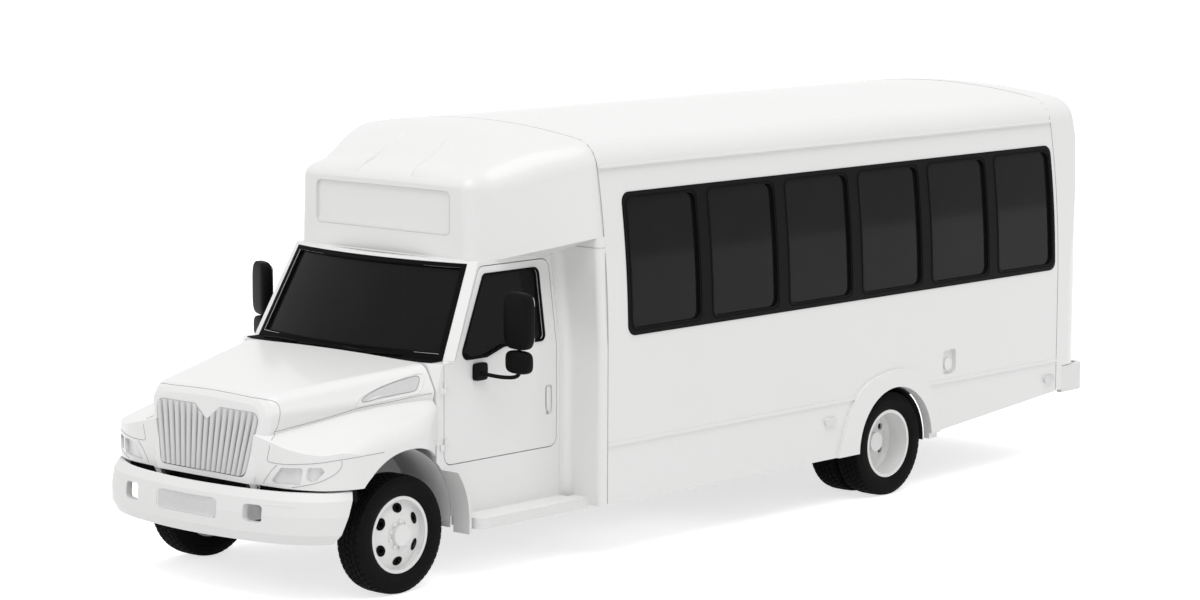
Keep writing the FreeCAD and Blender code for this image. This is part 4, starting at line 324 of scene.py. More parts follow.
# %% [markdown]
# ## Dress the solids
# Each solid keeps its shape and gets the finish of the real piece.

# %% Finishes on the solids
finishes = {
    "white_body": body_paint, "white_plastic": bumper_plastic, "black_trim": black_trim, "dark_glass": dark_glass,
    "lamp_glass": lamp_glass, "frame_steel": chassis_paint, "bare_steel": bare_steel, "engine_iron": cast_iron,
    "tank_metal": tank_sheet, "tyre": tyre_rubber, "seat_cloth": seat_cloth, "floor_mat": floor_cover,
}
for part in frame["record"]["subparts"]:
    dressed = nodes[part["node"]]
    dressed.data.materials.clear()
    dressed.data.materials.append(finishes[part["material_slot"]])
# The grille's white carries painted shade on its bars and in its gaps.
nodes["grille"].data.materials[0] = grille_painted_shade

# %% [markdown]
# ## Piece helpers
# Every new piece is a plain mesh whose place is in its vertices. A shape is a pair of vertices and faces.
# Small helpers make the shapes that repeat, and one turns a shape into a piece with a finish and a body.


# %% Mesh helpers
def kept(made, body, smooth):
    """Shade a new piece and let it ride on its body."""
    for face in made.data.polygons:
        face.use_smooth = smooth
    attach(made, body)
    return made


def raw_mesh(name, vertices, edges, faces):
    mesh = bpy.data.meshes.new(name)
    mesh.from_pydata([tuple(v) for v in vertices], edges, faces)
    return mesh


def piece(name, shape, material, body, smooth=True):
    """A shape as a piece, with its double points joined and its faces turned outwards."""
    mesh = raw_mesh(name, shape[0], [], shape[1])
    work = bmesh.new()
    work.from_mesh(mesh)
    bmesh.ops.remove_doubles(work, verts=work.verts, dist=0.00001)
    bmesh.ops.recalc_face_normals(work, faces=work.faces)
    work.to_mesh(mesh)
    work.free()
    mesh.materials.append(material)
    return kept(added(name, mesh), body, smooth)


def worked_out(made):
    """The plain mesh that an object's modifiers give. The modifiers are then taken off."""
    view = bpy.context.evaluated_depsgraph_get()
    mesh = bpy.data.meshes.new_from_object(made.evaluated_get(view))
    made.modifiers.clear()
    return mesh


def joined(shapes):
    """Several shapes as one."""
    vertices, faces = [], []
    for more_vertices, more_faces in shapes:
        faces += [[len(vertices) + i for i in face] for face in more_faces]
        vertices += list(more_vertices)
    return vertices, faces


def turns(count):
    """The cosine and sine of equal steps round a circle."""
    return [(math.cos(2 * math.pi * step / count), math.sin(2 * math.pi * step / count)) for step in range(count)]


def grid(rows, columns, loop=True, ring=False, first=0):
    """Faces between rows of points. Loop joins each row's end to its start, ring the last row to the first."""
    faces = []
    for i in range(rows if ring else rows - 1):
        a, b = first + i * columns, first + (i + 1) % rows * columns
        for j in range(columns if loop else columns - 1):
            k = (j + 1) % columns
            faces.append((a + j, a + k, b + k, b + j))
    return faces


def lathe(profile, centre, count):
    """A profile of (x, radius) turned about an axle line."""
    vertices = [(centre[0] + x, centre[1] + radius * cosine, centre[2] + radius * sine)
                for cosine, sine in turns(count) for x, radius in profile]
    return vertices, grid(count, len(profile), loop=False, ring=True)


def slab(x0, x1, y0, y1, z0, z1, edge=0.004):
    """A box with its edges cut, as folded or moulded pieces have."""
    work = bmesh.new()
    bmesh.ops.create_cube(work, size=1.0)
    for vertex in work.verts:
        x, y, z = vertex.co
        vertex.co = Vector((x0 if x < 0 else x1, y0 if y < 0 else y1, z0 if z < 0 else z1))
    bmesh.ops.bevel(work, geom=work.edges[:], offset=edge, segments=2, profile=0.6, affect="EDGES")
    vertices = [vertex.co.copy() for vertex in work.verts]
    faces = [[vertex.index for vertex in face.verts] for face in work.faces]
    work.free()
    return vertices, faces


def pebble(centre, half, power, count=36, rows=24):
    """A ball whose sides are flattened by a power, with the soft edges of moulded plastic."""
    def bend(value):
        return math.copysign(abs(value) ** (2 / power), value)

    vertices = []
    for i in range(rows + 1):
        tilt = math.pi * (i / rows - 0.5)
        for cosine, sine in turns(count):
            share = (bend(math.cos(tilt)) * bend(cosine), bend(math.cos(tilt)) * bend(sine), bend(math.sin(tilt)))
            vertices.append(tuple(centre[k] + half[k] * share[k] for k in range(3)))
    return vertices, grid(rows + 1, count)


print("mesh helpers ready")

# %% [markdown]
# ## Trees of Geometry Nodes
# Tread blocks, floor ribs and cooling fins repeat, and rubber seals and panel joints follow a path. A tree of
# Geometry Nodes does each job from a few named sizes. Its result is turned into a plain mesh at once.


# %% A tree with named inputs
class Recipe(Tree):
    def __init__(self, name, inputs):
        super().__init__(bpy.data.node_groups.new(name, "GeometryNodeTree"))
        face = self.tree.interface
        face.new_socket("Geometry", in_out="INPUT", socket_type="NodeSocketGeometry")
        for label, kind in {**inputs, "Finish": "Material"}.items():
            face.new_socket(label, in_out="INPUT", socket_type="NodeSocket" + kind)
        face.new_socket("Geometry", in_out="OUTPUT", socket_type="NodeSocketGeometry")
        self.entry = self.tree.nodes.new("NodeGroupInput").outputs
        self.end = self.tree.nodes.new("NodeGroupOutput")

    def given(self, label):
        return Value(self, self.entry[label])

    def copies(self, spots, **turned):
        return self.node("GeometryNodeInstanceOnPoints",
                         {"Points": spots, "Instance": self.given("Geometry"), **turned})

    def finish(self, geometry):
        solid = self.node("GeometryNodeRealizeInstances", {"Geometry": geometry})
        painted = self.node("GeometryNodeSetMaterial", {"Geometry": solid, "Material": self.given("Finish")})
        self.feed(self.end.inputs[0], painted)
        return self.tree


print("recipe helper ready")


# %% Three trees: a bead along a path, a ring about the axle line, a row
def bead_tree():
    recipe = Recipe("bead along a path", {"Radius": "Float", "Sides": "Int"})
    path = recipe.node("GeometryNodeMeshToCurve", {"Mesh": recipe.given("Geometry")})
    circle = recipe.node("GeometryNodeCurvePrimitiveCircle",
                         {"Resolution": recipe.given("Sides"), "Radius": recipe.given("Radius")})
    return recipe.finish(recipe.node("GeometryNodeCurveToMesh",
                                     {"Curve": path, "Profile Curve": circle, "Fill Caps": True}))


def ring_tree():
    recipe = Recipe("ring about the axle line", {"Count": "Int", "Phase": "Float", "Centre": "Vector"})
    spots = recipe.node("GeometryNodePoints", {"Count": recipe.given("Count")})
    share = (recipe.node("GeometryNodeInputIndex") + recipe.given("Phase")) / recipe.given("Count")
    euler = recipe.node("ShaderNodeCombineXYZ", {"X": share * (2 * math.pi)})
    spin = recipe.node("FunctionNodeEulerToRotation", {"Euler": euler})
    return recipe.finish(recipe.node("GeometryNodeTransform", {"Geometry": recipe.copies(spots, Rotation=spin),
                                                               "Translation": recipe.given("Centre")}))


def row_tree():
    recipe = Recipe("row of copies", {"Count": "Int", "Step": "Vector"})
    place = recipe.node("ShaderNodeVectorMath", {0: recipe.given("Step"),
                                                 "Scale": recipe.node("GeometryNodeInputIndex")}, operation="SCALE")
    spots = recipe.node("GeometryNodePoints", {"Count": recipe.given("Count"), "Position": place})
    return recipe.finish(recipe.copies(spots))


bead, ring, row = bead_tree(), ring_tree(), row_tree()


def grown(name, tree, shape, sizes, material, body, smooth=False, edges=()):
    """Run a tree on a shape and keep its result as a plain mesh on a body."""
    made = added(name, raw_mesh(name, shape[0], edges, shape[1]))
    growth = made.modifiers.new("growth", "NODES")
    growth.node_group = tree
    values = {**sizes, "Finish": material}
    for item in tree.interface.items_tree:
        if item.name in values:
            growth[item.identifier] = values[item.name]
    made.data = worked_out(made)
    return kept(made, body, smooth)


def beads(name, paths, radius, material, body, closed=False, sides=8):
    """Round beads along one or more paths, as one piece."""
    vertices, edges = [], []
    for path in paths:
        first = len(vertices)
        vertices += path
        edges += [(first + i, first + i + 1) for i in range(len(path) - 1)]
        if closed:
            edges.append((first + len(path) - 1, first))
    return grown(name, bead, (vertices, []), {"Radius": radius, "Sides": sides}, material, body, True, edges)


print("trees", bead.name, ring.name, row.name)

# %% [markdown]
# ## Paths on the body
# Seals and joints lie on curved panels. A path is first drawn flat, in side view or front view, and then
# each of its points is dropped onto the panel, so the bead hugs the surface.


# %% Path helpers
def rounded_path(corners, radius, steps=6):
    """A closed flat path with round corners, as (u, v) points."""
    points = []
    for i, corner in enumerate(corners):
        here = Vector(corner)
        before = (Vector(corners[i - 1]) - here).normalized()
        after = (Vector(corners[(i + 1) % len(corners)]) - here).normalized()
        half = before.angle(after) / 2
        reach = radius / math.tan(half)
        centre = here + (before + after).normalized() * (radius / math.sin(half))
        start, stop = here + before * reach - centre, here + after * reach - centre
        sweep = math.copysign(math.pi - 2 * half, start.x * stop.y - start.y * stop.x)
        for step in range(steps + 1):
            cosine, sine = math.cos(sweep * step / steps), math.sin(sweep * step / steps)
            points.append(centre + Vector((start.x * cosine - start.y * sine, start.x * sine + start.y * cosine)))
    return points


def densed(points, pitch):
    """The same closed path with extra points on its long runs."""
    dense = []
    for first, second in zip(points, points[1:] + points[:1]):
        parts = max(1, math.ceil((second - first).length / pitch))
        dense += [first.lerp(second, step / parts) for step in range(parts)]
    return dense


def box_path(u0, v0, u1, v1, radius, pitch):
    """A closed flat path round a rectangle with round corners."""
    return densed(rounded_path([(u0, v0), (u1, v0), (u1, v1), (u0, v1)], radius), pitch)


def upright(path, back):
    """A flat path of (x, z) points set up across the bus."""
    return [spot(x, back, z) for x, z in path]


def smooth_path(points, steps=6, closed=False):
    """A soft curve through measured points."""
    points = [Vector(p) for p in points]
    if closed:
        ends = points[-1:] + points + points[:2]
    else:
        ends = [points[0] * 2 - points[1]] + points + [points[-1] * 2 - points[-2]]
    curve = []
    for a, b, c, d in zip(ends, ends[1:], ends[2:], ends[3:]):
        for step in range(steps):
            t = step / steps
            curve.append(0.5 * (2 * b + (c - a) * t + (2 * a - 5 * b + 4 * c - d) * t ** 2
                                + (3 * b - a - 3 * c + d) * t ** 3))
    return curve if closed else curve + [points[-1]]


def skin(*names):
    """A search tree over the faces of some solids."""
    merged = bmesh.new()
    for name in names:
        merged.from_mesh(nodes[name].data)
    return BVHTree.FromBMesh(merged)


def laid(points, tree, lift=0.0):
    """Each point moved to the nearest place on a skin, and out along its normal."""
    moved = []
    for point in points:
        place, normal, _, _ = tree.find_nearest(point)
        if normal.dot(point - place) < 0 and (point - place).length > 0.002:
            normal = -normal
        moved.append(place + normal * lift)
    return moved


def onto(points, tree, way, lift=0.0):
    """Each point carried along a direction onto a skin, from 0.15 m before it; a miss is left out."""
    hits = [tree.ray_cast(point - way * 0.15, way)[0] for point in points]
    return [hit - way * lift for hit in hits if hit is not None]


wall_half, sill_z, wall_bend = 1.295, 1.45, 7.640


def wall_x(z, out):
    """Outer face of the coach wall: upright up to the window sills, then a long inward curve."""
    if z <= sill_z:
        return wall_half + out
    return wall_half - wall_bend + math.sqrt((wall_bend + out) ** 2 - (z - sill_z) ** 2)


print("path helpers ready")

# %% [markdown]
# ## Tyres
# A tyre is a lathe form: bead, bulging side wall with moulded rings, and a round shoulder. The tread blocks
# repeat round it, so one block of each row is modelled and the ring tree turns it about the axle.

# %% Tyre bodies
tyre_radius, front_x, outer_x, inner_x = 0.399, 0.915, 1.148, 0.888
wheel_places = {
    "left_front": (front_x, front_axle_y, "left_front_wheel"),
    "right_front": (-front_x, front_axle_y, "right_front_wheel"),
    "left_rear_outer": (outer_x, rear_axle_y, "left_rear_wheels"),
    "left_rear_inner": (inner_x, rear_axle_y, "left_rear_wheels"),
    "right_rear_outer": (-outer_x, rear_axle_y, "right_rear_wheels"),
    "right_rear_inner": (-inner_x, rear_axle_y, "right_rear_wheels"),
}
half_section = [(0.084, 0.246), (0.085, 0.258), (0.093, 0.2585), (0.099, 0.264), (0.104, 0.274), (0.1075, 0.286),
                (0.1095, 0.2875), (0.1100, 0.291), (0.1115, 0.2925), (0.1128, 0.308), (0.1130, 0.324),
                (0.1122, 0.336), (0.1131, 0.3375), (0.1126, 0.3405), (0.1110, 0.342), (0.1085, 0.356),
                (0.1092, 0.358), (0.1080, 0.361), (0.1062, 0.3625), (0.1020, 0.375), (0.0975, 0.385),
                (0.0930, 0.3885), (0.0, 0.3895)]
section = half_section + [(-x, radius) for x, radius in reversed(half_section[:-1])]
for name, (x, y, body) in wheel_places.items():
    piece("tyre_" + name, lathe(section, (x, y, tyre_radius), 96), tyre_rubber, body)
for side, _ in sides:
    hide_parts(side + "_front_tyre")
    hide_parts(side + "_rear_tyres")


# %% Tread blocks
def tread_block(x, width, angle, skew):
    """One block as a low bevelled box that follows the tyre's curve, drawn about the axle line."""
    flat_half, fall, edge, tread_radius = 0.075, 14, 0.0022, 0.39
    vertices = []
    for lift, shrink in ((0.3875, 0.0), (0.3965, 0.0), (0.3988 - abs(x) * 0.02, edge)):
        for side, along in ((-1, -1), (1, -1), (1, 1), (-1, 1)):
            across = x + side * (width / 2 - shrink)
            turned = along * (angle / 2 - shrink / tread_radius) + skew * side
            drop = max(0.0, abs(across) - flat_half) ** 2 * fall
            vertices.append((across, (lift - drop) * math.sin(turned), (lift - drop) * math.cos(turned)))
    return vertices, [(3, 2, 1, 0), (8, 9, 10, 11)] + grid(3, 4)


block_count = 54
block_pitch = 2 * math.pi / block_count
tread_rows = [(-0.0815, 0.033, 0.80, 0.006, 0.0), (-0.041, 0.036, 0.84, 0.022, 0.5), (0.0, 0.034, 0.84, -0.022, 0.0),
              (0.041, 0.036, 0.84, 0.022, 0.5), (0.0815, 0.033, 0.80, 0.006, 0.0)]
for name, (x, y, body) in wheel_places.items():
    for number, (across, width, share, skew, phase) in enumerate(tread_rows):
        grown("tread_%s_%d" % (name, number), ring, tread_block(across, width, block_pitch * share, skew),
              {"Count": block_count, "Phase": phase, "Centre": (x, y, tyre_radius)}, tyre_rubber, body)
print("tread blocks", block_count * len(tread_rows), "a tyre")

# %% [markdown]
# ## Brake drums and painted shade in the hand holes
# The holes of the wheel discs look dark, because a drum sits close behind them in the disc's shade. The drum's
# face is black: its own dark metal with painted shade on it. A black oval of painted shade round each hole of
# a front disc follows the cone of the disc.


# %% Drums behind the discs, and painted shade round the hand holes
def plate_ring(sign, near, thickness, centre_y, inner, outer):
    """A flat ring round an axle line: a brake drum's face, seen through the hand holes."""
    x = min(sign * near, sign * (near + thickness))
    vertices = []
    for cosine, sine in turns(48):
        for radius, across in ((inner, x), (outer, x), (outer, x + thickness), (inner, x + thickness)):
            vertices.append((across, centre_y + radius * cosine, tyre_radius + radius * sine))
    return vertices, grid(48, 4, ring=True)


def hole_shade(sign, turn, count=20):
    """Painted shade: a black oval round one hand hole of a front disc, following the disc's cone."""
    hole_radius, disc_x, disc_radius, disc_slope, proud = 0.178, 0.994, 0.142, 0.0313 / 0.093, 0.0026
    vertices = []
    middle = Vector((hole_radius * math.cos(turn), hole_radius * math.sin(turn)))
    along = middle.normalized()
    across = Vector((-along.y, along.x))
    for wide, high in ((0.0150, 0.0150), (0.0290, 0.0300), (0.0315, 0.0430)):
        for cosine, sine in turns(count):
            place = middle + along * wide * cosine + across * high * sine
            x = disc_x - (place.length - disc_radius) * disc_slope + proud
            vertices.append((sign * x, front_axle_y + place.x, tyre_radius + place.y))
    return vertices, grid(3, count)


for side, sign in sides:
    body = side + "_front_wheel"
    # Black drum faces: the drums' own dark metal with painted shade; black ovals round the holes: painted shade.
    piece(side + "_front_drum_and_shade", plate_ring(sign, 0.930, 0.006, front_axle_y, 0.076, 0.228), black_trim, body, False)
    edges = joined(hole_shade(sign, math.pi / 2 + math.pi / 3 * i) for i in range(6))
    piece(side + "_hand_hole_shades", edges, black_rubber, body)
    piece(side + "_rear_drum_and_shade", plate_ring(sign, 1.012, 0.004, rear_axle_y, 0.100, 0.228), black_trim,
          side + "_rear_wheels", False)
print("drums ready")

# %% [markdown]
# ## Window seals
# Each pane sits in a black rubber seal, and the whole window band has a second seal against the painted wall.
# The beads follow the wall, which leans in above the sills.

# %% Coach windows
window_low, window_high, window_start, window_end, post = 1.549, 2.529, 1.950, 7.110, 0.060
window_pitch = (window_end - window_start + post) / 6
pane_paths = {"left": [], "right": []}
for index in range(6):
    y0 = at(window_start) + window_pitch * index + post / 2
    flat = box_path(y0, window_low + 0.030, y0 + window_pitch - 2 * post, window_high - 0.030, 0.055, 0.12)
    outline = [Vector((wall_x(z, 0.004), y, z)) for y, z in flat]
    pane_paths["left"].append(outline)
    if index > 0:
        pane_paths["right"].append(flipped(outline))
for side, paths in pane_paths.items():
    beads(side + "_pane_seals", paths, 0.0075, black_rubber, "body", True)
for side, start in (("left", window_start), ("right", window_start + window_pitch)):
    flat = box_path(at(start), window_low, at(window_end), window_high, 0.070, 0.12)
    outline = [Vector((wall_x(z, 0.001), y, z)) for y, z in flat]
    beads(side + "_band_seal", [outline if side == "left" else flipped(outline)], 0.006, black_rubber, "body", True)

# %% Windshield seal and side glass seals
shield_foot, shield_top, shield_bow, shelf_top = 1.483, 2.120, 0.110, 1.4885


def up_shield(z, low, high):
    """A size of the cab at a height, given at the foot and at the top of the windshield."""
    return low + (high - low) * (z - shield_foot) / (shield_top - shield_foot)


def shield_row(z, depth, border, count=24):
    """Points across the windshield's face at a height, which bows forwards in the middle."""
    half = up_shield(z, 0.900, 0.820) - border
    front = at(up_shield(z, 0.520, 0.850)) + depth
    radius = (half ** 2 + shield_bow ** 2) / (2 * shield_bow)
    places = []
    for step in range(count + 1):
        x = half * (2 * step / count - 1)
        bow = math.sqrt(radius ** 2 - x ** 2) - (radius - shield_bow)
        places.append(Vector((x, front - bow, z)))
    return places


def shield_ring(depth, border, top, foot):
    """A closed path round the windshield, inside the edge of the cab's face by a border on each side."""
    low = shield_row(shield_foot + foot, depth, border)
    high = shield_row(shield_top - top, depth, border)
    right = [low[-1].lerp(high[-1], step / 8) for step in range(1, 8)]
    left = [high[0].lerp(low[0], step / 8) for step in range(1, 8)]
    return low + right + high[::-1] + left


def shield_band():
    """The black edge of the glass: a strip round it, laid on the cab's face."""
    face = skin("cab_shell")
    vertices = []
    for path in (shield_ring(0.0, 0.0440, 0.0440, 0.0440), shield_ring(0.0, 0.0035, 0.016, 0.004)):
        for point in path:
            hit = onto([point], face, to_rear, 0.0015)
            vertices.append(hit[0] if hit and abs(hit[0].y - point.y) < 0.04 else point)
    return vertices, grid(2, len(vertices) // 2)


def cowl_cover():
    """The black cover on the shelf between the foot of the glass and the hood."""
    shelf_back, corner_x, corner_slope = 0.3875, 0.870, 0.9
    vertices = []
    for x, y, _ in shield_row(shield_foot, 0.004, 0.0):
        front = min(at(shelf_back) + max(0.0, abs(x) - corner_x) * corner_slope, y - 0.002)
        vertices += [(x, front, shield_foot + 0.0008), (x, front, shelf_top), (x, y, shelf_top)]
    return vertices, grid(len(vertices) // 3, 3, loop=False)


piece("cowl_cover", cowl_cover(), black_rubber, "body")
piece("windshield_band", shield_band(), black_rubber, "body")
beads("windshield_seal", [shield_ring(0.006, 0.043, 0.043, 0.043)], 0.012, black_rubber, "body", True)
door_window = [(0.618, 1.490), (0.870, 1.490), (1.045, 1.541), (1.455, 1.541), (1.455, 2.030), (0.918, 2.030)]
flat = densed(rounded_path([(at(back), z) for back, z in door_window], 0.040), 0.08)
for side, sign in sides:
    outline = [Vector((sign * (up_shield(max(z, shield_foot), 0.970, 0.880) + 0.001), y, z)) for y, z in flat]
    beads(side + "_door_glass_seal", [outline], 0.0095, black_rubber, side + "_cab_door", True)
print("cab seals ready")

# %% [markdown]
# ## Mirrors, wipers and handles
# Truck mirrors are moulded pods: a tall flat glass above a small bulging one, on a bent tube from the door.
# Each pod is a rounded block, turned a little about its post.


# %% Mirrors
def spun(form, centre, degrees):
    """The same form turned about an upright line through a point."""
    turn = Matrix.Rotation(math.radians(degrees), 3, "Z")
    return [centre + turn @ (Vector(v) - centre) for v in form[0]], form[1]


post_x, post_back, arm_z = 1.250, 0.890, 1.600
mirror_twist = {"left": -4, "right": -24}
mirror_parts = (("head", 0.0, 1.7525, (0.123, 0.047, 0.192), 4.5, black_trim),
                ("low_head", 0.0, 1.474, (0.112, 0.046, 0.078), 3.6, black_trim),
                ("glass", 0.0445, 1.7525, (0.100, 0.0055, 0.165), 9.0, mirror_glass),
                ("low_glass", 0.0405, 1.474, (0.088, 0.0085, 0.056), 4.0, mirror_glass))
arm_line = ((0.985, 0.790, 1.385), (1.060, 0.815, 1.374), (1.150, 0.850, 1.366), (1.220, 0.880, 1.372),
            (post_x, post_back, 1.400), (post_x, post_back, 1.450), (post_x, post_back, arm_z))
for side, sign in sides:
    body = side + "_cab_door"
    for part, behind, z, half, power, finish in mirror_parts:
        form = spun(pebble(spot(sign * post_x, post_back + behind, z), half, power),
                    spot(sign * post_x, post_back, arm_z), mirror_twist[side])
        made = piece(side + "_mirror_" + part, form, finish, body)
        if part == "head":
            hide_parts(side + "_mirror")
    piece(side + "_mirror_foot", pebble(spot(sign * 0.986, 0.790, 1.395), (0.020, 0.062, 0.060), 6.0), black_trim,
          body)
    arm = smooth_path([spot(sign * x, back, z) for x, back, z in arm_line])
    beads(side + "_mirror_arm", [arm], 0.0135, black_trim, body, sides=14)
print("mirrors ready")


# %% Wipers and door handles
def wiper_path(x0, x1, lift):
    """A line along the foot of the windshield."""
    foot_back, foot_half, foot_z, droop = 0.526, 0.895, 1.494, 0.010
    path = []
    for step in range(13):
        x = x0 + (x1 - x0) * step / 12
        bow = shield_bow * (1 - (x / foot_half) ** 2)
        path.append(spot(x, foot_back - bow - lift, foot_z + droop * abs(step - 6) / 6))
    return path


spans = ((-0.690, -0.100), (-0.010, 0.580))
rubbers = beads("wiper_blades", [wiper_path(x0, x1, 0.016) for x0, x1 in spans], 0.0065, black_rubber, "body")
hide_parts("wipers")
beads("wiper_holders", [wiper_path(x0 + 0.11, x1 - 0.11, 0.026) for x0, x1 in spans], 0.0045, black_trim, "body")
arms = []
for x0, x1 in spans:
    middle = (x0 + x1) / 2
    rest = wiper_path(middle, middle, 0.030)[0]
    arms.append(smooth_path([spot(x0 - 0.06, 0.455, 1.492), spot(x0 + 0.05, 0.428, 1.506),
                             Vector((middle - 0.08, rest.y - 0.004, 1.508)), rest]))
beads("wiper_arms", arms, 0.0075, black_trim, "body")
for number, (x0, _) in zip((1, 0), spans):
    pivot = pebble(spot(x0 - 0.06, 0.455, 1.492), (0.020, 0.020, 0.012), 3.0)
    piece("wiper_pivot_%d" % number, pivot, black_trim, "body")
for side, sign in sides:
    body = side + "_cab_door"
    handle = pebble(spot(sign * 0.9665, 1.490, 1.128), (0.0065, 0.020, 0.082), 4.0)
    piece(side + "_door_handle", handle, bumper_plastic, body)
    lock = pebble(spot(sign * 0.9575, 1.490, 1.030), (0.0045, 0.010, 0.010), 2.2)
    piece(side + "_door_lock", lock, bare_steel, body)
print("wipers and handles ready")

# %% [markdown]
# ## Panel joints
# Body panels meet in narrow joints, and on a white bus they show only as fine grey lines. Each joint is a
# bead sunk half into the surface. The places were measured on the panels, one side drawn, the other mirrored.

# %% Joints of the hood
hood_skin = skin("hood")
nose_joint = [(0, -737, 1343), (84, -737, 1341), (238, -737, 1338), (372, -737, 1333), (495, -728, 1330),
              (543, -702, 1323), (569, -683, 1309), (590, -679, 1278), (600, -690, 1215), (588, -702, 1150),
              (596, -745, 1095), (612, -787, 1040), (600, -795, 985), (594, -795, 955), (612, -794, 941),
              (701, -784, 938), (793, -765, 943), (948, -700, 960), (1053, -588, 981), (1112, -412, 994),
              (1119, -250, 996)]
fender_joint = [(579, -711, 1126), (638, -545, 1154), (709, -342, 1192), (778, -153, 1234), (854, 66, 1259),
                (927, 274, 1286), (950, 360, 1292)]
lamp_joints = [[(560, -799, 795), (574, -797, 820), (595, -795, 847), (633, -791, 891), (676, -787, 927)],
               [(1060, -576, 972), (1060, -576, 950), (1056, -582, 929), (1040, -611, 894), (1008, -652, 864),
                (959, -693, 836), (887, -731, 813), (792, -765, 792)]]
hood_paths = []
for line in [nose_joint, fender_joint] + lamp_joints:
    hood_paths += both(laid(smooth_path(placed(line)), hood_skin))
beads("hood_joints", hood_paths, 0.0022, joint_grey, "hood", sides=6)
print("hood joints", len(hood_paths))

# %% Side scoops of the hood
scoop_lip = [(777, -171, 1254), (777, -162, 1284), (782, -102, 1317), (804, 24, 1362), (840, 174, 1398),
             (867, 279, 1420), (884, 328, 1422), (897, 339, 1400), (912, 312, 1350), (921, 276, 1315),
             (918, 254, 1300), (879, 135, 1287), (833, -5, 1270), (795, -115, 1254)]
scoop_well = [(790, -128, 1280), (789, -91, 1310), (808, 20, 1352), (836, 142, 1384), (867, 260, 1406),
              (882, 301, 1406), (894, 300, 1383), (907, 266, 1335), (904, 232, 1317), (866, 110, 1303),
              (831, -3, 1291), (802, -95, 1275)]


def patch(outline, tree, lift, rings=5):
    """A panel that fills a closed path and follows the skin under it."""
    centre = sum(outline, Vector()) / len(outline)
    vertices = laid([centre], tree, lift)
    for step in range(rings):
        vertices += laid([centre.lerp(point, (step + 1) / rings) for point in outline], tree, lift)
    count = len(outline)
    fan = [(0, 1 + i, 1 + (i + 1) % count) for i in range(count)]
    return vertices, fan + grid(rings, count, first=1)


lips, wells = (both(laid(smooth_path(placed(line), 5, True), hood_skin)) for line in (scoop_lip, scoop_well))
beads("scoop_lips", lips, 0.005, body_paint, "hood", True)
beads("scoop_wells", wells, 0.003, joint_grey, "hood", True)
for number, outline in enumerate(wells):
    piece("scoop_panel_%d" % number, patch(outline, hood_skin, 0.0008), scoop_shade, "hood")
print("scoops ready")

# %% Joints of the coach body
coach_skin = skin("left_wall", "right_wall", "roof", "front_cap", "rear_cap", "corner_panels")
cap_skin, corner_skin, bumper_skin = skin("front_cap"), skin("corner_panels"), skin("front_bumper")
gutter_z, cap_back = 2.700, 0.80


def hoop(back, low):
    """A path up one wall, over the roof and down the other wall, at one distance from the front."""
    heights = [low + (gutter_z - low) * i / 14 for i in range(15)]
    path = [spot(wall_x(z, 0.0), back, z) for z in heights]
    over = []
    for cosine, sine in turns(120)[1:60]:
        out = Vector((cosine, 0, sine))
        hit = coach_skin.ray_cast(spot(0, back, 2.30) + out * 3, -out)[0]
        if hit is not None and hit.z > gutter_z + 0.015:
            over.append(hit - out * 0.0012)
    return path + over + flipped(reversed(path))


beads("coach_joints", [hoop(1.7355, 0.400), hoop(7.1605, 0.575)], 0.0030, joint_grey, "body", sides=6)
sign_edge = upright(box_path(-0.644, 2.281, 0.644, 2.579, 0.042, 0.03), cap_back)
beads("sign_edge", [onto(sign_edge, cap_skin, to_rear)], 0.0028, soft_joint, "body", True, sides=6)
cap_foot = []
foot_half, foot_z, sunk = 0.780, 2.160, 0.004
for hit in onto([spot(foot_half * (step / 30 - 1), cap_back, foot_z) for step in range(61)], cap_skin, to_rear):
    under = cap_skin.ray_cast(Vector((hit.x, hit.y + 0.014, foot_z - 0.100)), up)[0]
    if under is not None:
        cap_foot.append(Vector((hit.x, hit.y + sunk, under.z - sunk)))
beads("cap_foot", [cap_foot], 0.012, body_paint, "body")
seam_z = 2.173
corner_line = onto([spot(0.93 + 0.02 * i, 1.600, seam_z) for i in range(17)], corner_skin, to_rear)
corner_line += laid([spot(1.290, 1.700, seam_z), spot(1.292, 1.731, seam_z)], corner_skin)
beads("corner_seams", both(corner_line), 0.0024, joint_grey, "body", sides=6)
print("coach joints ready")


# %% Shoulders on the cap and a crease in the bumper
def shoulder(sign, rows=26, columns=22):
    """A low raised shoulder on the cap's slope, steep beside the middle channel and running out sideways."""
    start_back, length, channel_half, width, height = 0.875, 0.445, 0.250, 0.50, 0.028
    vertices = []
    for i in range(rows + 1):
        u = i / rows
        edge = channel_half - 0.050 * max(0.0, u - 0.62) / 0.38
        swell = min(1.0, u / 0.16) ** 0.7 * (1 - u) ** 0.8
        for j in range(columns + 1):
            v = j / columns
            top = spot(sign * (edge + width * v ** 1.6), start_back + length * u, 3.2)
            place, normal = cap_skin.ray_cast(top, down)[:2]
            rise = -0.002 if j == 0 else height * swell * (1 - v) ** 1.6 - 0.0004
            vertices.append(place + normal * rise)
    return vertices, grid(rows + 1, columns + 1, loop=False)


for side, sign in sides:
    piece(side + "_cap_shoulder", shoulder(sign), body_paint, "body")
crease_line = [(674, -902, 683), (785, -865, 684), (872, -824, 683), (894, -814, 672), (892, -819, 651)]
crease = laid(smooth_path(placed(crease_line)), bumper_skin, -0.0015)
beads("bumper_crease", both(crease), 0.0035, bumper_plastic, "body")
print("joints ready")

# %% [markdown]
# ## Behind the grille
# Dark gaps between the bars need something dark behind them. The real one is the cooler: a core of thin
# fins between two tanks. A row of fins is one fin and a step.

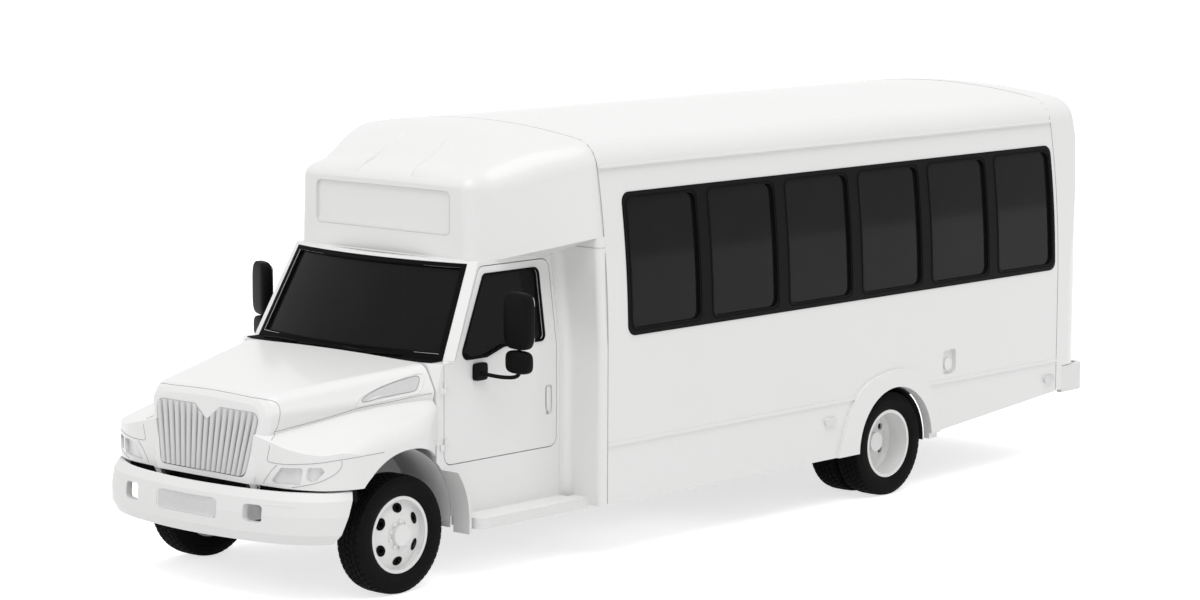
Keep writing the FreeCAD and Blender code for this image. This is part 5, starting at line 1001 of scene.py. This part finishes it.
# %% Cooler
core_half, tank_half, foot_z, core_z, head_z, top_z = 0.400, 0.440, 0.800, 0.845, 1.190, 1.215
cooler_front, cooler_back = at(-0.700), at(-0.640)
fin = slab(-core_half, core_half, cooler_front + 0.004, cooler_back - 0.004, core_z, core_z + 0.0035, 0.0008)
grown("cooler_fins", row, fin, {"Count": 46, "Step": (0.0, 0.0, 0.0075)}, chassis_paint, "body")
frame_sizes = ((-tank_half, -core_half, foot_z, top_z), (core_half, tank_half, foot_z, top_z),
               (-core_half, core_half, foot_z, core_z), (-core_half, core_half, head_z, top_z))
cooler_frame = joined(slab(x0, x1, cooler_front, cooler_back, z0, z1) for x0, x1, z0, z1 in frame_sizes)
piece("cooler_frame", cooler_frame, black_trim, "body", False)
print("cooler ready")

# %% [markdown]
# ## Shade sheet over the bumper and wheel liners
# A curved liner hides the inside of each wheel arch, and a flat apron closes the front arch towards the
# engine. A thin black sheet under the hood's edge closes the gap over the bumper: painted shade, standing in for
# the shadow inside that gap.


# %% Sheets round the wheels and over the bumper
def sheet(rows):
    """A closed strip between rows of four corners, with both ends capped."""
    vertices = [corner for corners in rows for corner in corners]
    last = len(vertices) - 1
    return vertices, [(0, 1, 2, 3), (last, last - 1, last - 2, last - 3)] + grid(len(rows), 4)


def arc_sheet(sign, near, far, centre_y, centre_z, radius, start, stop, count=28):
    """A curved sheet over a wheel, from one angle to another in degrees."""
    x0, x1 = sorted((sign * near, sign * far))
    low = radius - 0.006
    rows = []
    for step in range(count + 1):
        angle = math.radians(start + (stop - start) * step / count)
        rows.append([(x, centre_y + r * math.cos(angle), centre_z + r * math.sin(angle))
                     for x, r in ((x0, radius), (x1, radius), (x1, low), (x0, low))])
    return sheet(rows)


def ribbon(points, z0, z1):
    """An upright sheet along a line of places seen from above."""
    return sheet([[(x, y, z0), (x, y, z1), (x, y + 0.006, z1), (x, y + 0.006, z0)] for x, y in points])


apron_x, arch_z, arch_radius, apron_foot = 0.5660, 0.440, 0.530, 0.640
for side, sign in sides:
    liner = arc_sheet(sign, 0.562, 0.955, front_axle_y, arch_z, arch_radius + 0.006, -8, 152)
    # Front liners and aprons are painted a grey of shade, as white in the arch's shadow.
    piece(side + "_front_liner", liner, liner_shade_grey, "body")
    apron = [(sign * apron_x, front_axle_y - 0.470, apron_foot), (sign * apron_x, front_axle_y + 0.470, apron_foot)]
    for step in range(19):
        angle = math.radians(25 + 130 * step / 18)
        apron.append((sign * apron_x, front_axle_y + arch_radius * math.cos(angle),
                      arch_z + arch_radius * math.sin(angle)))
    count = len(apron)
    apron += [(x - sign * 0.004, y, z) for x, y, z in apron]
    ends = [tuple(range(count)), tuple(range(2 * count - 1, count - 1, -1))]
    piece(side + "_inner_apron", (apron, ends + grid(2, count)), liner_shade_grey, "body", False)
    liner = arc_sheet(sign, 0.730, 1.240, rear_axle_y, 0.388, 0.446, -2, 182)
    piece(side + "_rear_liner", liner, black_trim, "body")
# Painted shade: a black sheet in the gap over the bumper, where the gap lies in shadow.
shade_sheet_foot = 0.692
shade_sheet = [ribbon([(-0.506, at(-0.727)), (0.506, at(-0.727))], shade_sheet_foot, 0.752)]
shade_sheet_side = [(0.506, -0.727), (0.620, -0.726), (0.720, -0.716), (0.810, -0.694), (0.900, -0.654), (0.975, -0.600),
            (1.030, -0.530), (1.062, -0.450)]
shade_sheet += [ribbon([(sign * x, at(back)) for x, back in shade_sheet_side], shade_sheet_foot, 0.765) for _, sign in sides]
piece("gap_shade_sheet", joined(shade_sheet), black_trim, "body", False)
print("liners ready")

# %% Number plate ground and hood latches
plate_back = laid(upright(box_path(-0.280, 0.566, 0.280, 0.676, 0.020, 0.05), -0.975), bumper_skin)
piece("plate_ground", patch(plate_back, bumper_skin, 0.001, 4), plate_shade, "body")
latch_edge = rounded_path([(at(0.255), 1.000), (at(0.315), 1.000), (at(0.315), 1.070), (at(0.255), 1.070)], 0.014)
for side, sign in sides:
    latch = laid([Vector((sign * 1.05, y, z)) for y, z in latch_edge], hood_skin)
    beads(side + "_hood_latch", [latch], 0.004, body_paint, "hood", True)
print("fine front pieces ready")

# %% [markdown]
# ## Under the hood
# With the hood tilted, the engine shows. Its plain block gets a rocker cover with caps, a manifold, hoses to
# the cooler, a belt and a row of bolts.

# %% Engine covers, hoses, belt and bolts
covers = [pebble(spot(0.060, -0.030, 1.192), (0.145, 0.350, 0.045), 7.0)]
covers += [pebble(spot(0.060, -0.280 + 0.100 * i, 1.236), (0.046, 0.030, 0.012), 5.0) for i in range(6)]
covers.append(pebble(spot(-0.200, -0.020, 1.150), (0.070, 0.330, 0.055), 4.0))
piece("rocker_cover", joined(covers), chassis_paint, "body")
pipe_places = [[(-200, -330, 1160), (-200, -450, 1175), (-240, -550, 1160), (-300, -640, 1120)],
               [(230, -415, 1090), (250, -500, 1120), (290, -580, 1150), (300, -645, 1150)],
               [(300, 300, 1120), (395, 200, 1140), (410, 0, 1060), (400, -150, 960)]]
beads("engine_pipes", [smooth_path(placed(line)) for line in pipe_places], 0.030, black_trim, "body", sides=14)
belt = rounded_path([(-0.140, 0.700), (0.150, 0.700), (0.220, 0.960), (0.020, 1.090), (-0.200, 1.000)], 0.070)
beads("fan_belt", [upright(belt, -0.440)], 0.012, black_rubber, "body", True)
bolt = pebble(spot(0.342, -0.360, 1.080), (0.012, 0.014, 0.014), 2.6, 12, 8)
grown("engine_bolts", row, bolt, {"Count": 8, "Step": (0.0, 0.090, 0.0)}, bare_steel, "body", True)
print("engine dressed")

# %% [markdown]
# ## Rear wall and entry steps
# The rear door has its joint, a seal round its pane and a handle. The tail lamps sit in rubber rings, and
# ribs make the steps and the aisle safe to walk on.

# %% Rear door and tail lamps
rear_back = 7.60
door_skin, rear_cap_skin, rear_bumper_skin = skin("rear_door"), skin("rear_cap"), skin("rear_bumper")
door_edge = upright(box_path(-0.433, 0.957, 0.433, 2.483, 0.072, 0.04), rear_back)
beads("rear_door_joint", [onto(door_edge, rear_cap_skin, to_front)], 0.0040, joint_grey, "body", True, sides=6)
pane_edge = upright(box_path(-0.336, 1.554, 0.336, 2.366, 0.055, 0.04), rear_back)
beads("rear_pane_seal", [onto(pane_edge, door_skin, to_front)], 0.010, black_rubber, "rear_door", True)
lamp_radius = 0.0655
lamp_rings = [onto([spot(x + lamp_radius * cosine, rear_back, z + lamp_radius * sine) for cosine, sine in turns(36)],
                   rear_cap_skin, to_front) for x in (1.010, -1.010) for z in (1.000, 1.180)]
beads("tail_lamp_rings", lamp_rings, 0.0060, black_rubber, "body", True)
grip = onto([spot(-0.375, rear_back, 1.240)], door_skin, to_front)[0]
handle = pebble(grip + Vector((0, 0.014, 0)), (0.016, 0.012, 0.075), 3.0)
piece("rear_door_handle", handle, black_trim, "rear_door")
handle_plate = pebble(grip + Vector((0, 0.001, 0)), (0.030, 0.004, 0.100), 8.0)
piece("rear_handle_plate", handle_plate, bare_steel, "rear_door")
rear_plate = onto(upright(box_path(-0.165, 0.575, 0.165, 0.710, 0.012, 0.03), 7.70), rear_bumper_skin, to_front,
                  -0.0004)
piece("rear_plate_ground", patch(rear_plate, rear_bumper_skin, -0.0002, 4), plate_shade, "body")
print("rear wall ready")


# %% Ribs on the steps and in the aisle
def top_of(name, x, back):
    """Height of a solid under a place 1.5 m above the ground."""
    return skin(name).ray_cast(spot(x, back, 1.5), down)[0].z


for number, x in enumerate((-1.160, -0.930)):
    tread = top_of("entry_steps", x, 2.340)
    rib = slab(x - 0.100, x + 0.090, at(1.975), at(1.982), tread - 0.001, tread + 0.003, 0.001)
    grown("step_ribs_%d" % number, row, rib, {"Count": 49, "Step": (0.0, 0.015, 0.0)}, black_rubber, "body")
aisle = top_of("floor", 0.0, 4.0)
rib = slab(-0.180, -0.176, at(2.900), at(7.000), aisle - 0.001, aisle + 0.0025, 0.0008)
grown("aisle_ribs", row, rib, {"Count": 31, "Step": (0.012, 0.0, 0.0)}, black_rubber, "body")
print("steps and aisle ready")

# %% [markdown]
# ## Seats
# Coach seats are sewn cushions on a steel stand. One cushion and one back are shaped first, then puffed by a
# cloth simulation whose pressure pushes the cover out between the seams, and copied to every place.


# %% One puffed pad
def puffed(name, half, voxel=0.019, reach=0.008):
    """A pad mesh: a rounded block, remeshed evenly and blown up a little by Cloth, at most by its reach."""
    vertices, faces = pebble((0, 0, 0), half, 5.0, 28, 18)
    pad = added(name, raw_mesh(name, vertices, [], faces))
    remesh = pad.modifiers.new("even", "REMESH")
    remesh.mode = "VOXEL"
    remesh.voxel_size = voxel
    even = worked_out(pad)
    pad.data = even
    before = [vertex.co.copy() for vertex in even.vertices]
    blown = even
    cloth = pad.modifiers.new("cover", "CLOTH")
    cloth.settings.quality = 4
    cloth.settings.use_pressure = True
    cloth.settings.uniform_pressure_force = 4.0
    cloth.settings.effector_weights.gravity = 0.0
    cloth.point_cache.frame_start = 1
    cloth.point_cache.frame_end = 20
    for frame_number in range(1, 21):
        bpy.context.scene.frame_set(frame_number)
    blown = worked_out(pad)
    bpy.context.scene.frame_set(1)
    places = []
    for vertex, start in zip(blown.vertices, before):
        move = vertex.co - start
        if move.length > reach:
            move = move.normalized() * reach
        places.append(start + move)
    pad_faces = [list(face.vertices) for face in even.polygons]
    bpy.data.objects.remove(pad)
    return places, pad_faces


def creased(places, half, lines, depth=0.006, width=0.012):
    """Sewn channels: the cover is drawn in along straight lines across the pad."""
    moved = []
    for place in places:
        drawn = sum(depth * math.exp(-(abs(place[axis] - share * half[axis]) / width) ** 2) for axis, share in lines)
        moved.append(place - place.normalized() * drawn)
    return moved


cushion_half, back_half = (0.195, 0.205, 0.048), (0.195, 0.038, 0.310)
side_seams = ((0, 0.55), (0, -0.55))
cushion, cushion_faces = puffed("cushion", cushion_half)
backrest, backrest_faces = puffed("backrest", back_half)
cushion = creased(cushion, cushion_half, side_seams)
backrest = creased(backrest, back_half, side_seams + ((2, 0.62),))
print("pads", len(cushion_faces), len(backrest_faces))

# %% Seats in their rows
back_height, back_lean = 0.640, 0.095


def seat_pads(x, y, top, wide=1.0):
    """The pads of one place: x is its middle, y the cushion's back edge, top the cushion's top."""
    tilt = Matrix.Rotation(-math.atan2(back_lean, back_height), 3, "X")
    low = [Vector((p.x * wide, p.y, p.z)) + Vector((x, y - 0.222, top - 0.056)) for p in cushion]
    high = [tilt @ Vector((p.x * wide, p.y, p.z)) + Vector((x, y + 0.092, top + back_height / 2 + 0.002))
            for p in backrest]
    return [(low, cushion_faces), (high, backrest_faces)]


def stand(x0, x1, y, floor_z, under):
    """A folded steel stand: a cross rail on top, a post and a foot."""
    middle, rail = (x0 + x1) / 2, under - 0.045
    return [slab(x0, x1, y - 0.36, y - 0.02, rail, under, 0.006),
            slab(middle - 0.03, middle + 0.03, y - 0.30, y - 0.10, floor_z + 0.012, rail, 0.01),
            slab(middle - 0.12, middle + 0.12, y - 0.34, y - 0.04, floor_z, floor_z + 0.014, 0.004)]


def seat_cover(name, pads, stands_for):
    cover = piece(name, joined(pads), seat_cloth, "body")
    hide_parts(stands_for)


bench_edge = wall_half - 0.075
for side, sign, start_back, rows in (("left", 1, 2.330, 7), ("right", -1, 3.200, 6)):
    pads, stands = [], []
    x0, x1 = sorted((sign * (bench_edge - 0.800), sign * (bench_edge - 0.020)))
    for index in range(rows):
        y = at(start_back) + 0.790 * index
        for inward in (0.205, 0.615):
            pads += seat_pads(sign * (bench_edge - inward), y, 1.370)
        stands += stand(x0, x1, y, 0.920, 1.262)
    seat_cover(side + "_seat_pads", pads, side + "_seats")
    piece(side + "_seat_stands", joined(stands), chassis_paint, "body", False)
driver_y = at(1.290)
seat_cover("driver_seat_pads", seat_pads(0.480, driver_y, 1.200, 1.22), "driver_seat")
piece("driver_seat_stand", joined(stand(0.250, 0.710, driver_y, 0.790, 1.092)), chassis_paint, "body", False)
print("seats", 13, "benches and the driver's")

# %% [markdown]
# ## Floor, backdrop and light
# The photo stands on plain white with almost no shadow. A big white floor sends light up on the walls, a
# world of even light fills every side, and one very soft sun makes the roof a little brighter than the walls.
# To the camera, the floor has a small glow of its own, so that only a faint shadow is left on it.

# %% Floor
reach = 150
floor_corners = [(-reach, -reach, 0), (reach, -reach, 0), (reach, reach, 0), (-reach, reach, 0)]
ground = added("studio_floor", raw_mesh("floor", floor_corners, [], [(0, 1, 2, 3)]))
pale = Finish("pale studio floor")
mottle = pale.ramp(pale.noise(0.7, 2.0), (0.3, grey(0.88)), (0.7, grey(0.90)))
shown = pale.ramp(pale.seen(), (0.0, grey(0.0)), (1.0, grey(1.0)))
pale.set(mottle, 0.95, 0.0, Emission_Color=shown, Emission_Strength=0.70)
ground.data.materials.append(pale.material)
print("floor ready")

# %% World and sun
world = bpy.data.worlds.new("studio")
world.use_nodes = True
bpy.context.scene.world = world
sky = Tree(world.node_tree)
background = sky.tree.nodes["Background"]
light_on_bus, light_in_view = 0.60, 1.0
strength = sky.node("ShaderNodeMapRange", {"Value": sky.seen(), "To Min": light_on_bus, "To Max": light_in_view})
sky.feed(background.inputs["Color"], grey(1.0))
sky.feed(background.inputs["Strength"], strength)
sun = added("soft_sun", bpy.data.lights.new("soft_sun", "SUN"))
sun.data.energy = 1.65
sun.data.angle = math.radians(55)
sun.rotation_euler = Vector((0.22, -0.24, 0.95)).to_track_quat("Z", "Y").to_euler()
print("lamps", len(bpy.data.lights))
